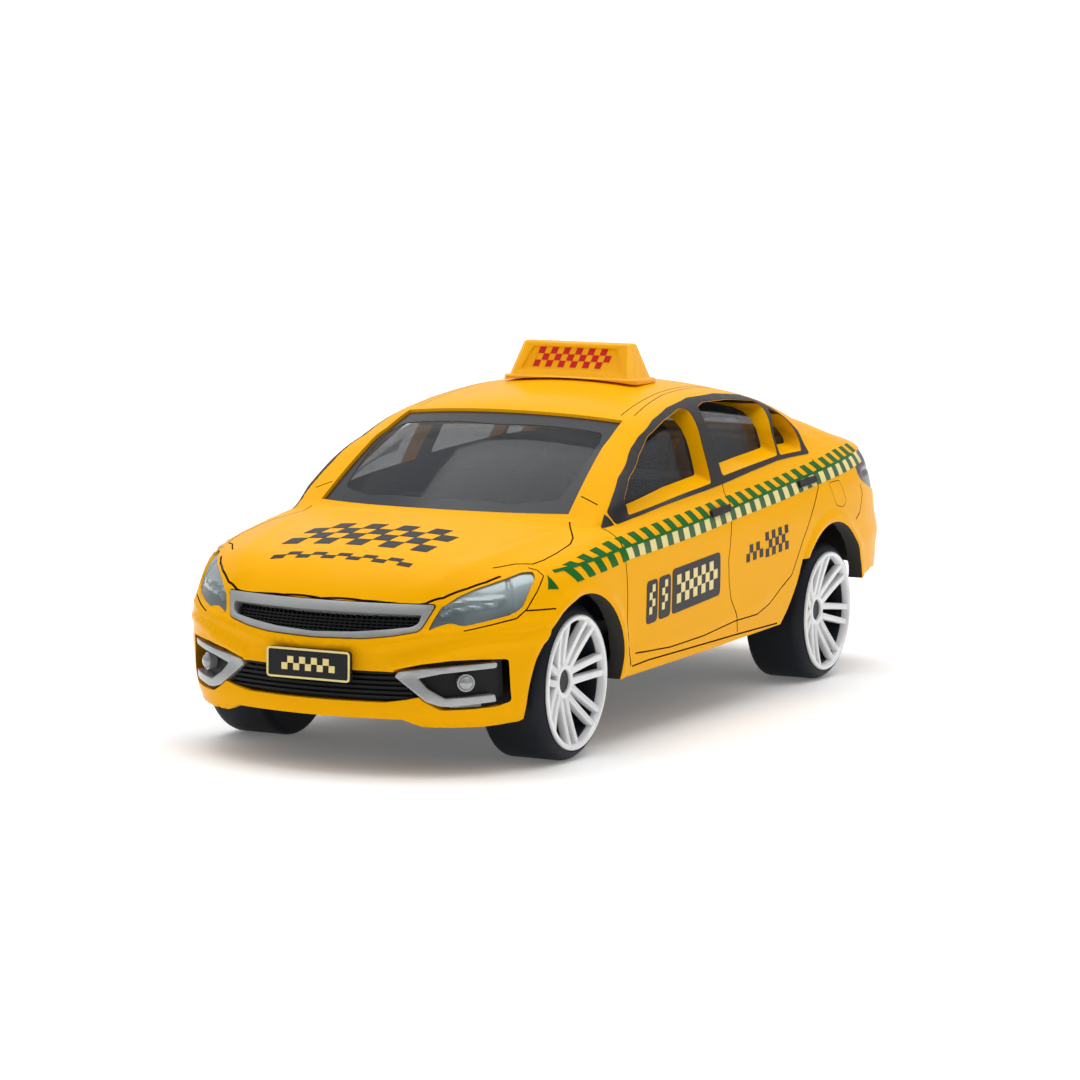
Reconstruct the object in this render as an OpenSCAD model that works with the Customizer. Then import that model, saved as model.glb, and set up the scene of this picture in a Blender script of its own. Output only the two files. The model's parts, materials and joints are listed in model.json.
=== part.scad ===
// Diecast collector car: a four-door saloon taxi with sprung axles and free-turning wheels.
// The front faces -Y, the car's left side is +X, and the origin is on the ground under the middle
// of the car. "Station" means the distance behind the front axle, and stations are set out along Y.

/* [Wheels and axles] */
// Distance between the two axles
wheelbase = 43.4; // [43.2:0.1:43.6]
// Outside diameter of a tyre
tyre_d = 10.5; // [10.3:0.1:10.6]
// Width of a tyre
tyre_w = 4.8; // [4.5:0.1:4.9]
// Distance from the car's middle to the outer face of a wheel
wheel_out = 13.1; // [12.9:0.05:13.2]
// Diameter of the flat rim ring
rim_d = 9.1; // [8.9:0.1:9.3]
// Number of double spokes in a rim
spoke_pairs = 7; // [5:1:8]
// Diameter of the steel axles
axle_d = 1.0; // [0.9:0.05:1.1]
// Radial running clearance round an axle
running_gap = 0.06; // [0.04:0.01:0.08]
// How far an axle can rise on its spring
axle_travel = 0.6; // [0.4:0.1:0.7]

/* [Body] */
// Thickness of the cast shell
wall = 1.1; // [0.9:0.05:1.2]
// Thickness of the clear glazing
glass = 0.7; // [0.5:0.05:0.8]
// Gap round every fitted insert
fit_gap = 0.08; // [0.06:0.01:0.12]
// How deep the grilles and lamps sit below the body's surface
inset = 0.3; // [0.2:0.05:0.4]

/* [Roof sign] */
// Height of the sign above the roof
sign_h = 2.55; // [2.2:0.05:2.8]
// Half the sign's width at its foot
sign_half = 5.4; // [5.0:0.1:5.8]

/* [Hidden] */
$fn = 64;

// Station of the nose and of the tail, and the front axle's place in the frame.
nose_station = -13.0;
tail_station = 58.3;
front_axle_y = -(nose_station + tail_station) / 2;
axle_z = tyre_d / 2;

// Body curves, each a list of [station or height, value] that a smooth curve runs through.
plan_half = [[-13, 12.6], [-6, 13.4], [2, 13.8], [12, 13.95], [28, 13.95], [40, 13.9],
             [48, 13.45], [54, 12.6], [58.5, 11.5]];
side_lean = [[3.4, -0.95], [5.2, -0.45], [7, -0.12], [9.5, 0], [12.3, -0.05], [14.2, -0.3],
             [15.6, -0.7], [16.8, -1.3], [18.5, -2.6]];
nose_line = [[3.4, -12.3], [4.6, -12.7], [6.8, -12.5], [8.8, -12.45], [9.65, -12.15],
             [11.2, -11.45], [12.4, -10.7], [14, -9.3]];
tail_line = [[4.6, 57], [6.5, 57.7], [9.5, 57.95], [11.2, 57.85], [12.4, 57.2], [14.5, 57.05],
             [16.4, 56.8], [17.9, 56.4]];
deck_line = [[-13, 11], [-11.2, 12.3], [-9, 13.3], [-5, 14.35], [0, 15.2], [5, 15.9], [12, 16.5],
             [24, 17], [40, 17.7], [50, 18.1], [55, 18.05], [58.5, 17.7]];
deck_crown = [[-13, 1], [3, 1], [20, 0.6], [50, 0.5], [58.5, 0.5]];
floor_line = [[-20, 3.5], [-13, 3.5], [-10.5, 3.27], [-8.7, 3.24], [-6.7, 3.45], [-5, 3.9], [5, 4.75],
              [21, 5.1], [33, 5.45], [47.4, 6.7], [50, 7.4], [52.2, 7.7], [70, 7.7]];
roof_line = [[13, 21.3], [16, 22.2], [20, 22.9], [25, 23.4], [29, 23.5], [34, 23.15],
             [38, 22.5], [41, 21.75], [44, 20.8]];
cabin_half = [[2, 11.6], [8, 12.45], [16, 12.7], [28, 12.75], [38, 12.5], [46, 11.9], [53, 10.9]];
cabin_flare = [[0, 0], [36, 0], [42, 0.35], [50, 0.9], [56, 1]];
belt_z = 16.3;

function span_of(c, t, i = 0) = (i >= len(c) - 2 || t < c[i + 1][0]) ? i : span_of(c, t, i + 1);
function slope_at(c, i) =
    let (a = max(i - 1, 0), b = min(i + 1, len(c) - 1)) (c[b][1] - c[a][1]) / (c[b][0] - c[a][0]);
// Smooth curve through a list of [t, value].
function curve(c, t) =
    let (x = min(max(t, c[0][0]), c[len(c) - 1][0]), i = span_of(c, x),
         h = c[i + 1][0] - c[i][0], u = (x - c[i][0]) / h)
    (2 * u^3 - 3 * u^2 + 1) * c[i][1] + (u^3 - 2 * u^2 + u) * h * slope_at(c, i)
    + (3 * u^2 - 2 * u^3) * c[i + 1][1] + (u^3 - u^2) * h * slope_at(c, i + 1);
// Larger of two values with a rounded corner of size k.
function soft_max(a, b, k) = max(a, b) + max(k - abs(a - b), 0)^2 / (4 * k);

// Signed distance-like function of the lower body: negative inside. p = [x, station, z].
function lower_body(p) =
    let (side = abs(p[0]) - curve(plan_half, p[1]) - curve(side_lean, p[2]),
         front = curve(nose_line, p[2]) + 0.0256 * p[0]^2 - p[1],
         rear = p[1] - curve(tail_line, p[2]) + 0.010 * p[0]^2,
         top = p[2] - curve(deck_line, p[1]) + 0.0075 * p[0]^2 * curve(deck_crown, p[1]))
    soft_max(soft_max(soft_max(side, front, 5), rear, 3.2), top, 1.6);
// The same for the cabin, from the belt line up to the roof.
function cabin(p) =
    let (rise = max(p[2] - belt_z, 0),
         flare = curve(cabin_flare, p[1]) * exp(-max(p[2] - 15.6, 0) / 1.3),
         side = abs(p[0]) - curve(cabin_half, p[1]) + 0.36 * rise + 0.012 * rise^2 - flare,
         top = p[2] - curve(roof_line, p[1]) + 0.011 * p[0]^2,
         u = (max(p[2], 15.2) - 15.6) / 6.3,
         screen = 2.7 + 11.6 * u - 0.55 * sin(180 * min(max(u, 0), 1)) + (0.0252 - 0.003 * u) * p[0]^2,
         w = (max(p[2], 17.2) - 17.6) / 4.3,
         back = 52.2 - 10.9 * w + 0.5 * sin(180 * min(max(w, 0), 1)) - 0.02 * p[0]^2)
    soft_max(soft_max(soft_max(side, top, 1.8), (screen - p[1]) * 0.48, 0.9), (p[1] - back) * 0.37, 0.9);
LOWER = 0;
CABIN = 1;
function inside(kind, p) = kind == LOWER ? lower_body(p) : cabin(p);
// Distance along ray o + t * d at which the shape is depth below its surface.
function reach(kind, o, d, depth, near = 0, far = 40, n = 17) =
    let (m = (near + far) / 2)
    n == 0 ? m
    : inside(kind, o + d * m) < -depth ? reach(kind, o, d, depth, m, far, n - 1)
    : reach(kind, o, d, depth, near, m, n - 1);

// Faces of a closed net of rings between two end points.
function net_faces(rings, around) = concat(
    [for (j = [0 : around - 1]) [0, 1 + (j + 1) % around, 1 + j]],
    [for (i = [0 : rings - 2], j = [0 : around - 1])
        let (a = 1 + i * around + j, b = 1 + i * around + (j + 1) % around) each
        [[a, b, a + around], [b, b + around, a + around]]],
    [for (j = [0 : around - 1])
        let (last = 1 + (rings - 1) * around)
        [last + around, last + j, last + (j + 1) % around]]);

// Closed solid of a shape, pulled in by depth: rings round a spine at height z, with fans at its ends.
module solid(kind, depth, front, rear, z, fan, length_steps, around, floor_z = 0) {
    stops = concat(
        [for (i = [1 : fan]) [front, 90 * i / fan]],
        [for (i = [1 : length_steps - 1]) [front + (rear - front) * i / length_steps, 90]],
        [for (i = [0 : fan - 1]) [rear, 90 + 90 * i / fan]]);
    function ring(o, tilt) = [for (j = [0 : around - 1])
        let (turn = 360 * j / around, d = [cos(turn) * sin(tilt), -cos(tilt), sin(turn) * sin(tilt)],
             t = reach(kind, [0, o, z], d, depth), down = max(-d[2], 0.001),
             most = (z - floor_z) / down)
        [0, o, z] + d * min(t, most)];
    points = concat([[0, front - reach(kind, [0, front, z], [0, -1, 0], depth), z]],
                    [for (s = stops) each ring(s[0], s[1])],
                    [[0, rear + reach(kind, [0, rear, z], [0, 1, 0], depth), z]]);
    polyhedron(points, net_faces(len(stops), around), convexity = 6);
}
module lower_solid(depth, length_steps, around, floor_z)
    solid(LOWER, depth, -4, 50, 9.5, 9, length_steps, around, floor_z);
module cabin_solid(depth, length_steps, around, floor_z = 14)
    solid(CABIN, depth, 17, 38, 16.5, 8, length_steps, around, floor_z);

// Curved slab between two depths below a shape's surface, cast along d from a grid of u and z.
// The grid lies in the upright plane that contains along, through the point base.
module slab(kind, base, along, d, u_range, z_range, outer, inner, nu, nz) {
    function spot(i, j, depth) =
        let (u = u_range[0] + (u_range[1] - u_range[0]) * i / nu,
             z = z_range[0] + (z_range[1] - z_range[0]) * j / nz,
             o = [base[0] + along[0] * u, base[1] + along[1] * u, z])
        o + d * reach(kind, o, d, depth);
    rows = nz + 1;
    size = (nu + 1) * rows;
    points = concat([for (i = [0 : nu], j = [0 : nz]) spot(i, j, outer)],
                    [for (i = [0 : nu], j = [0 : nz]) spot(i, j, inner)]);
    function quad(a, b, c, e) = [[a, b, c], [a, c, e]];
    cells = [for (i = [0 : nu - 1], j = [0 : nz - 1]) i * rows + j];
    faces = concat(
        [for (a = cells) each quad(a, a + 1, a + rows + 1, a + rows)],
        [for (a = cells) each quad(size + a, size + a + rows, size + a + rows + 1, size + a + 1)],
        [for (i = [0 : nu - 1]) let (a = i * rows) each quad(a, a + rows, size + a + rows, size + a)],
        [for (i = [0 : nu - 1]) let (a = i * rows + nz)
            each quad(a, size + a, size + a + rows, a + rows)],
        [for (j = [0 : nz - 1]) each quad(j, size + j, size + j + 1, j + 1)],
        [for (j = [0 : nz - 1]) let (a = nu * rows + j)
            each quad(a, a + 1, size + a + 1, size + a)]);
    polyhedron(points, faces, convexity = 4);
}
// Slab across the nose, seen from the front.
module nose_slab(half, z_range, outer, inner, nu, nz)
    slab(LOWER, [0, 0], [1, 0], [0, -1, 0], [-half, half], z_range, outer, inner, nu, nz);
// Slab round the left front or left rear corner, seen along the diagonal.
tail_corner = 46;
module corner_slab(rear, u_range, z_range, outer, inner, nu, nz) {
    turn = rear ? 135 : 45;
    slab(LOWER, [0, rear ? tail_corner : 0], [cos(turn), sin(turn)], [sin(turn), -cos(turn), 0],
         u_range, z_range, outer, inner, nu, nz);
}

// Everything is set out from the front axle and moved to its place in the frame.
module placed() translate([0, front_axle_y, 0]) children();
module both_sides() {
    children();
    mirror([1, 0, 0]) children();
}
// Outline in x and z, pushed along the car from one station to another.
module along_car(from, to) translate([0, to, 0]) rotate([90, 0, 0]) linear_extrude(to - from) children();
// Outline in station and z, pushed out to the left from one x to another.
module across_car(from, to)
    translate([from, 0, 0]) rotate([90, 0, 90]) linear_extrude(to - from) children();
// Outline in u and z, pushed out along the left front (or left rear) diagonal.
module along_diagonal(rear, from = 0)
    translate([0, rear ? tail_corner : 0, 0]) rotate([90, 0, rear ? 135 : 45])
        translate([0, 0, from]) linear_extrude(30) children();
// Rounded outline through corner points.
module rounded(points, r) hull() for (p = points) translate(p) circle(r, $fn = 20);

// Outlines of the openings. grow is negative for the piece that fits the opening.
front_door_window = [[8.6, 15.6], [16.8, 16.35], [22.1, 16.72], [23.5, 21.75], [22.6, 21.85],
                     [19, 21.2], [15.5, 20.35], [10.3, 17.95], [8.4, 16.5]];
rear_door_window = [[24.3, 17.05], [29.5, 17.4], [35.2, 17.72], [36.7, 21.2], [36, 21.6], [31.2, 22],
                    [26.6, 22.05], [25.2, 21.8]];
quarter_window = [[35.65, 17.7], [40.1, 17.7], [40.55, 18.5], [39.5, 20.4], [37.6, 21], [35.9, 19.4]];
module side_windows(grow) {
    corner = 0.2;
    for (outline = [front_door_window, rear_door_window, quarter_window])
        offset(r = corner + grow, $fn = 20) offset(delta = -corner) polygon(outline);
}
// Windscreen and rear window seen from above, with bowed edges.
module bowed(front_s, front_bow, front_half, rear_s, rear_bow, rear_half, grow) {
    steps = 8;
    function edge(half, s, bow, way) =
        [for (i = [0 : steps]) let (x = way * half * (2 * i / steps - 1)) [x, s + bow * (x / half)^2]];
    polygon(concat(edge(front_half + grow, front_s - grow, front_bow, 1),
                   edge(rear_half + grow, rear_s + grow, rear_bow, -1)));
}
module screen_outline(grow) bowed(3.0, 2.3, 9.6, 15, 1, 8.5, grow);
module rear_window_outline(grow) bowed(42.2, -1, 8.2, 51.6, -1.9, 9.6, grow);
module headlamp_outline(grow)
    offset(r = grow) polygon([[-2.3, 9.5], [-0.8, 10], [0, 9.85], [3.3, 10.5], [4.05, 10.9], [5.3, 12.65],
                              [5.25, 13], [4.4, 13], [1.1, 12.15], [-0.1, 11.7], [-1.3, 11]]);
module tail_lamp_outline(grow)
    offset(r = grow) polygon([[-7.5, 15.5], [-7, 16.35], [-4.3, 16.95], [2.8, 16.9], [2.8, 13.4],
                              [-2.4, 13.5], [-5.4, 14.1], [-7, 14.8]]);
module grille_outline(grow)
    offset(r = grow) polygon([[-7.8, 11.2], [7.8, 11.2], [7.1, 9.45], [3.6, 8.88], [0, 8.78],
                              [-3.6, 8.88], [-7.1, 9.45]]);
// Lower grille and both fog-lamp pockets in one opening.
module bumper_outline(grow)
    offset(r = grow) polygon([[-5.5, 6.9], [5.5, 6.9], [7.3, 7.4], [9.05, 7.66], [11.85, 7.7], [11.9, 4.9],
                              [11.3, 4.6], [8.5, 4.43], [7.4, 4.95], [-7.4, 4.95], [-8.5, 4.43],
                              [-11.3, 4.6], [-11.9, 4.9], [-11.85, 7.7], [-9.05, 7.66], [-7.3, 7.4]]);

// Wheel arches as [station, height, radius]: the rear one is larger and stands a little forward.
arches = [[-0.3, 5.2, 6.05], [42.3, 4.9, 7.3]];
// In front of the rear arch the shell is cut away along the rear door's sloping edge.
rear_arch_front = [[31.5, 3], [32.8, 5.4], [33.6, 6.4], [34.8, 8.1], [35.9, 10], [42, 10], [42, 3]];
rivet_stations = [-7.4, 54];
post_feet = [5.75, 7.65];
post_tops = [13.2, 17.2];
rivet_r = 0.75;
rivet_head_z = [3.95, 5.2];
plate_t = 0.3;
sign_station = 26.4;
sign_pegs = [-3.5, 3.5];

module body_shell() color("gold") placed() {
    difference() {
        union() {
            difference() {
                union() {
                    lower_solid(0, 24, 60, 3.2);
                    cabin_solid(0, 16, 52);
                }
                lower_solid(wall, 16, 40, 1);
                cabin_solid(wall, 12, 40, 13);
            }
            for (i = [0, 1]) translate([0, rivet_stations[i], post_feet[i]])
                cylinder(h = post_tops[i] - post_feet[i], r = 1.7, $fn = 24);
            // Pads that the number plates are stuck to.
            translate([-2.4, nose_station + plate_t, 6.5]) cube([4.8, 1, 1.2]);
            translate([-2.4, tail_station - plate_t - 1, 10]) cube([4.8, 1, 1.2]);
        }
        // The lower edge, which rises towards the tail, and the step under the middle of the bumper.
        across_car(-20, 20) polygon(concat([[70, 0], [-20, 0]], floor_line));
        along_car(-20, -8) polygon([[-8.25, 2.9], [8.25, 2.9], [6.1, 3.76], [-6.1, 3.76]]);
        across_car(-20, 20) polygon(rear_arch_front);
        for (a = arches) translate([0, a[0], a[1]]) rotate([0, 90, 0])
            cylinder(h = 40, r = a[2], center = true, $fn = 56);
        both_sides() across_car(6, 20) side_windows(0);
        translate([0, 0, 13.9]) linear_extrude(10) screen_outline(0);
        translate([0, 0, 16.4]) linear_extrude(8) rear_window_outline(0);
        both_sides() along_diagonal(false) headlamp_outline(0);
        both_sides() along_diagonal(true) tail_lamp_outline(0);
        along_car(-20, -8.8) {
            grille_outline(0);
            bumper_outline(0);
        }
        // The fog-lamp pockets run deeper, into the corners.
        along_car(-20, -6) difference() {
            bumper_outline(0);
            square([14.8, 20], center = true);
        }
        for (s = rivet_stations) translate([0, s, 0]) cylinder(h = 11, r = rivet_r + 0.1, $fn = 24);
        for (x = sign_pegs) translate([x, sign_station, 20]) cylinder(h = 10, r = 0.7, $fn = 20);
    }
}

glass_foot = 15.4;
module glazing() color("lightslategray") placed() {
    outer = wall + fit_gap;
    difference() {
        union() {
            cabin_solid(outer, 14, 44, glass_foot - 0.4);
            // Raised panes: almost flush in the windscreen and rear window, set back in the sides.
            intersection() {
                cabin_solid(0.25, 14, 44);
                translate([0, 0, glass_foot]) linear_extrude(9) {
                    screen_outline(-fit_gap);
                    rear_window_outline(-fit_gap);
                }
            }
            intersection() {
                cabin_solid(wall - 0.15, 14, 44);
                both_sides() across_car(6, 20) side_windows(-fit_gap);
            }
        }
        cabin_solid(outer + glass, 12, 36, glass_foot - 1.2);
        translate([-20, -20, 0]) cube([40, 100, glass_foot]);
        // Slots that clear the sign's pegs.
        for (x = sign_pegs) translate([x, sign_station, 20]) linear_extrude(10)
            rounded([[-0.4, 0], [0.4, 0]], 0.75);
    }
}

module headlamp_lens() color("lightsteelblue") placed() difference() {
    intersection() {
        corner_slab(false, [-3, 6], [9.3, 13.2], 0.12, wall, 12, 6);
        along_diagonal(false) headlamp_outline(-fit_gap);
    }
    // The lens stops short of the grille beside it.
    along_car(-20, -4) grille_outline(0.05);
}
module headlamp_lens_left() headlamp_lens();
module headlamp_lens_right() mirror([1, 0, 0]) headlamp_lens();

module tail_lamp() color("dimgray") placed() intersection() {
    corner_slab(true, [-8.3, 3.4], [12.8, 17.2], 0.1, wall + 0.2, 15, 5);
    along_diagonal(true, 9.6) tail_lamp_outline(-fit_gap);
}
module tail_lamp_left() tail_lamp();
module tail_lamp_right() mirror([1, 0, 0]) tail_lamp();

module grille_hole() polygon([[-7, 10.5], [7, 10.5], [6.6, 9.75], [2.8, 9.3], [0, 9.18],
                              [-2.8, 9.3], [-6.6, 9.75]]);
module grille_surround() color("silver") placed() intersection() {
    nose_slab(8, [8.4, 11.5], 0.05, 0.75, 18, 5);
    along_car(-20, -4) difference() {
        grille_outline(-fit_gap);
        grille_hole();
    }
}
module grille_mesh() color("black") placed() intersection() {
    nose_slab(8, [8.4, 11.5], 0.8, 1.5, 14, 3);
    along_car(-20, -4) grille_outline(-fit_gap - 0.15);
}
module bumper_grille() color("black") placed() intersection() {
    nose_slab(12.2, [4.3, 8.1], 0.75, 1.5, 24, 4);
    along_car(-20, -6.1) bumper_outline(-fit_gap);
    // Room for the front wheels.
    across_car(-20, 20) difference() {
        translate([-20, 0]) square(20);
        translate([0, axle_z + axle_travel / 2]) circle(tyre_d / 2 + axle_travel);
    }
}
// Bracket round the fog lamp, open towards the car's side.
module fog_bezel_shape()
    polygon([[5.65, 6.55], [5.9, 6.82], [7.3, 7.05], [11.35, 7.48], [11.33, 7.13], [8.5, 6.8], [7.1, 6.47],
             [7.7, 5.83], [8.8, 5.18], [11.25, 5.4], [11.3, 4.93], [8.5, 4.7], [7.7, 4.98], [7.05, 5.5]]);
module fog_bezel() color("darkgray") placed() intersection() {
    nose_slab(12.2, [4.3, 8.1], 0.05, 0.7, 24, 4);
    along_car(-20, -4) fog_bezel_shape();
}
module fog_bezel_left() fog_bezel();
module fog_bezel_right() mirror([1, 0, 0]) fog_bezel();
module fog_lamp() color("gray") placed()
    translate([9.46, -9.27, 6.17]) rotate([90, 0, 0]) rotate([0, 36, 0]) {
        cylinder(h = 0.35, r = 0.57);
        translate([0, 0, 0.35]) cylinder(h = 0.1, r1 = 0.57, r2 = 0.4);
    }
module fog_lamp_left() fog_lamp();
module fog_lamp_right() mirror([1, 0, 0]) fog_lamp();

module plate(half, low, high) {
    hull() for (x = [-half + 0.25, half - 0.25], z = [low + 0.25, high - 0.25])
        translate([x, 0, z]) rotate([90, 0, 0]) cylinder(h = plate_t, r = 0.25, $fn = 24);
}
module front_plate() color("black") placed() translate([0, nose_station + plate_t, 0])
    plate(3.1, 6.1, 8.1);
module rear_plate() color("black") placed() translate([0, tail_station, 0]) plate(3.1, 9.6, 11.6);

sign_depth = 2.0;
sign_top_half = 4.35;
sign_top_depth = 0.6;
module sign_block(half, depth, low, height)
    translate([-half, sign_station - depth, low]) cube([2 * half, 2 * depth, height]);
module roof_sign() color("orange") placed() {
    // The roof's crown under the sign is close to an arc, which the sign's foot follows.
    crown_r = 45.5;
    roof = max([for (s = [-2 : 0.5 : 2]) curve(roof_line, sign_station + s)]) + 0.03;
    top = roof + sign_h;
    lip = 0.35;
    difference() {
        union() {
            hull() {
                sign_block(sign_half, sign_depth, roof - 0.7, 0.7);
                sign_block(sign_half - lip, sign_depth - 0.1, roof - 0.7, 0.8);
            }
            hull() {
                sign_block(sign_half - lip, sign_depth - 0.3, roof, 0.1);
                sign_block(sign_top_half, sign_top_depth, top - 0.1, 0.1);
            }
        }
        // Sunk panels on the sloping front and back.
        for (turn = [0, 180]) translate([0, sign_station, 0]) rotate([0, 0, turn]) hull() {
            translate([-4.1, -2.2, roof + 0.5]) cube([8.2, 0.88, 0.01]);
            translate([-3.4, -2.2, top - 0.35]) cube([6.8, 1.56, 0.01]);
        }
        translate([0, sign_station + 10, roof - crown_r]) rotate([90, 0, 0])
            cylinder(h = 20, r = crown_r, $fn = 96);
    }
    for (x = sign_pegs) translate([x, sign_station, roof - 1.5]) cylinder(h = 1.7, r = 0.6, $fn = 32);
}

// The base: a keel between the wheels, side floors, end aprons and a bearing block at each wheel.
keel_half = 7.6;
keel_z = 4.15;
// Half of the base's outline seen from above, which keeps it inside the shell at both ends.
base_plan = [[0, -10.6], [4.3, -10.2], [7.4, -8.9], [9, -7.6], [10, -6.4], [12, -6.2], [12, 49],
             [10.2, 50.4], [9, 54.5], [6.8, 56], [0, 56]];
module chassis_base() color("dimgray") placed() difference() {
    intersection() {
        union() {
            across_car(-keel_half, keel_half) polygon([[-12, 4.8], [-6.8, keel_z], [47, keel_z],
                [56, 6.4], [57, 6.6], [57, 7.6], [56, 7.6], [47, 5.5], [-12, 5.7]]);
            // Side floors follow the rising sills.
            across_car(-11.8, 11.8)
                polygon([[6.9, 4.85], [34.1, 5.6], [34.1, 6.7], [6.9, 5.95]]);
            // Aprons at the two ends.
            across_car(-10.4, 10.4) polygon([[-12, 4.7], [-7, 4.5], [-7, 5.6], [-12, 5.65]]);
            across_car(-10.4, 10.4) polygon([[50.3, 6.5], [57, 6.75], [57, 7.55], [50.3, 7.4]]);
            for (s = [0, wheelbase]) both_sides()
                translate([5.3, s - 2, keel_z]) cube([2.3, 4, 3.6]);
            // Exhaust silencer moulded under the tail.
            translate([3.4, 40.5, 4.5]) rotate([0, 90, 0]) cylinder(h = 3.6, r = 0.75, $fn = 32);
        }
        both_sides() linear_extrude(20) polygon(base_plan);
    }
    for (s = [0, wheelbase]) {
        // Pocket for the leaf spring, and the slot that the axle rises in.
        translate([-5.3, s - 5.4, keel_z + 0.45]) cube([10.6, 10.8, 5]);
        translate([-10, s, axle_z]) rotate([0, 90, 0]) cylinder(h = 20, r = axle_d / 2 + running_gap);
        translate([-10, s, axle_z + axle_travel + 0.05]) rotate([0, 90, 0])
            cylinder(h = 20, r = axle_d / 2 + running_gap);
        translate([-10, s - axle_d / 2 - running_gap, axle_z])
            cube([20, axle_d + 2 * running_gap, axle_travel + 0.05]);
    }
    for (s = rivet_stations) translate([0, s, 0]) cylinder(h = 12, r = rivet_r + running_gap);
    // Counterbores for the rivet heads, and shallow ribs pressed into the keel.
    for (i = [0, 1]) translate([0, rivet_stations[i], 0]) cylinder(h = rivet_head_z[i] + 0.6, r = 1.55);
    for (x = [-5, -2.5, 2.5, 5]) translate([x - 0.4, 10, 0]) cube([0.8, 22, keel_z + 0.2]);
}

module rivet(i) color("silver") placed() translate([0, rivet_stations[i], rivet_head_z[i]]) {
    rotate_extrude() polygon([[0, 0.05], [0.9, 0.05], [1.35, 0.25], [1.35, 0.55], [0, 0.55]]);
    translate([0, 0, 0.5]) cylinder(h = 4, r = rivet_r);
}
module front_rivet() rivet(0);
module rear_rivet() rivet(1);

// Seats, fascia and floor in one moulding, with the steering wheel on the car's right.
module seat(x, half, s) {
    translate([0, s, 0]) across_car(x - half, x + half)
        polygon([[0, 7.2], [0, 9.6], [5.2, 9.6], [6.3, 14.1], [7.9, 13.7], [6.3, 7.2]]);
    translate([x - 1.3, s + 6.5, 13.7]) rotate([-14, 0, 0]) cube([2.6, 1.1, 2.2]);
}
wheel_x = -4.9;
module interior_tub() color("slategray") placed() {
    difference() {
        union() {
            translate([-11.2, 7, 6.9]) cube([22.4, 27, 0.6]);
            translate([-7.4, -5.8, 7.9]) cube([14.8, 12.9, 0.6]);
            translate([-7.4, 34, 7.9]) cube([14.8, 16, 0.6]);
            translate([-7.4, 6.6, 6.9]) cube([14.8, 0.6, 1.6]);
            translate([-7.4, 33.6, 6.9]) cube([14.8, 0.6, 1.6]);
        }
        for (s = rivet_stations) translate([0, s, 0]) cylinder(h = 12, r = 2);
    }
    for (x = [-5, 5]) seat(x, 3.2, 13.5);
    seat(-5, 4.6, 25);
    seat(5, 4.6, 25);
    translate([-0.6, 25.3, 7.2]) cube([1.2, 4.6, 2.2]);
    // Fascia with the instrument binnacle and the steering wheel on its column.
    across_car(-9.4, 9.4) polygon([[6.4, 7.2], [9.6, 7.2], [9.8, 13.2], [9, 14.3], [6.4, 14.5]]);
    translate([wheel_x, 9.2, 13.2]) rotate([0, 90, 0]) cylinder(h = 3.4, r = 1.5, center = true);
    translate([wheel_x, 9.2, 13.2]) rotate([-62, 0, 0]) translate([0, 0, 2.2]) {
        difference() {
            cylinder(h = 0.4, r = 2.05, center = true);
            cylinder(h = 1, r = 1.65, center = true);
        }
        cylinder(h = 0.3, r = 0.55, center = true);
        translate([0, 0, -1.2]) cylinder(h = 1.2, r = 0.35, $fn = 24);
        for (turn = [30 : 120 : 270]) rotate([0, 0, turn]) translate([0, -0.16, -0.1])
            cube([1.85, 0.32, 0.2]);
    }
    // Rear shelf behind the back seat.
    translate([-9.6, 34.2, 14.9]) cube([19.2, 8, 0.5]);
    translate([-7.4, 34.2, 8.4]) cube([14.8, 0.5, 6.6]);
}

// Leaf spring: a strip whose bowed middle presses on the axle and whose ends bear on the floor above.
leaf_half = 4.6;
leaf_rise = 1.1;
leaf_r = (leaf_half^2 + leaf_rise^2) / (2 * leaf_rise);
leaf_t = 0.2;
module leaf_spring(s) color("lightgray") placed()
    translate([0, s, axle_z + axle_d / 2 + 0.02]) across_car(-1.5, 1.5) intersection() {
        translate([0, leaf_r]) difference() {
            circle(leaf_r, $fn = 96);
            circle(leaf_r - leaf_t, $fn = 96);
        }
        translate([-leaf_half, -1]) square([2 * leaf_half, 1 + leaf_rise]);
    }
module front_spring() leaf_spring(0);
module rear_spring() leaf_spring(wheelbase);

hub_r = 2.0;
axle_head_r = 0.78;
axle_end = wheel_out - 1.15;
module axle(s) color("silver") placed() translate([0, s, axle_z]) rotate([0, 90, 0]) {
    cylinder(h = 2 * axle_end, r = axle_d / 2, center = true);
    for (end = [0, 1]) mirror([0, 0, end]) translate([0, 0, axle_end - 0.3]) cylinder(h = 0.3, r = axle_head_r);
}
module front_axle() axle(0);
module rear_axle() axle(wheelbase);

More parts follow.
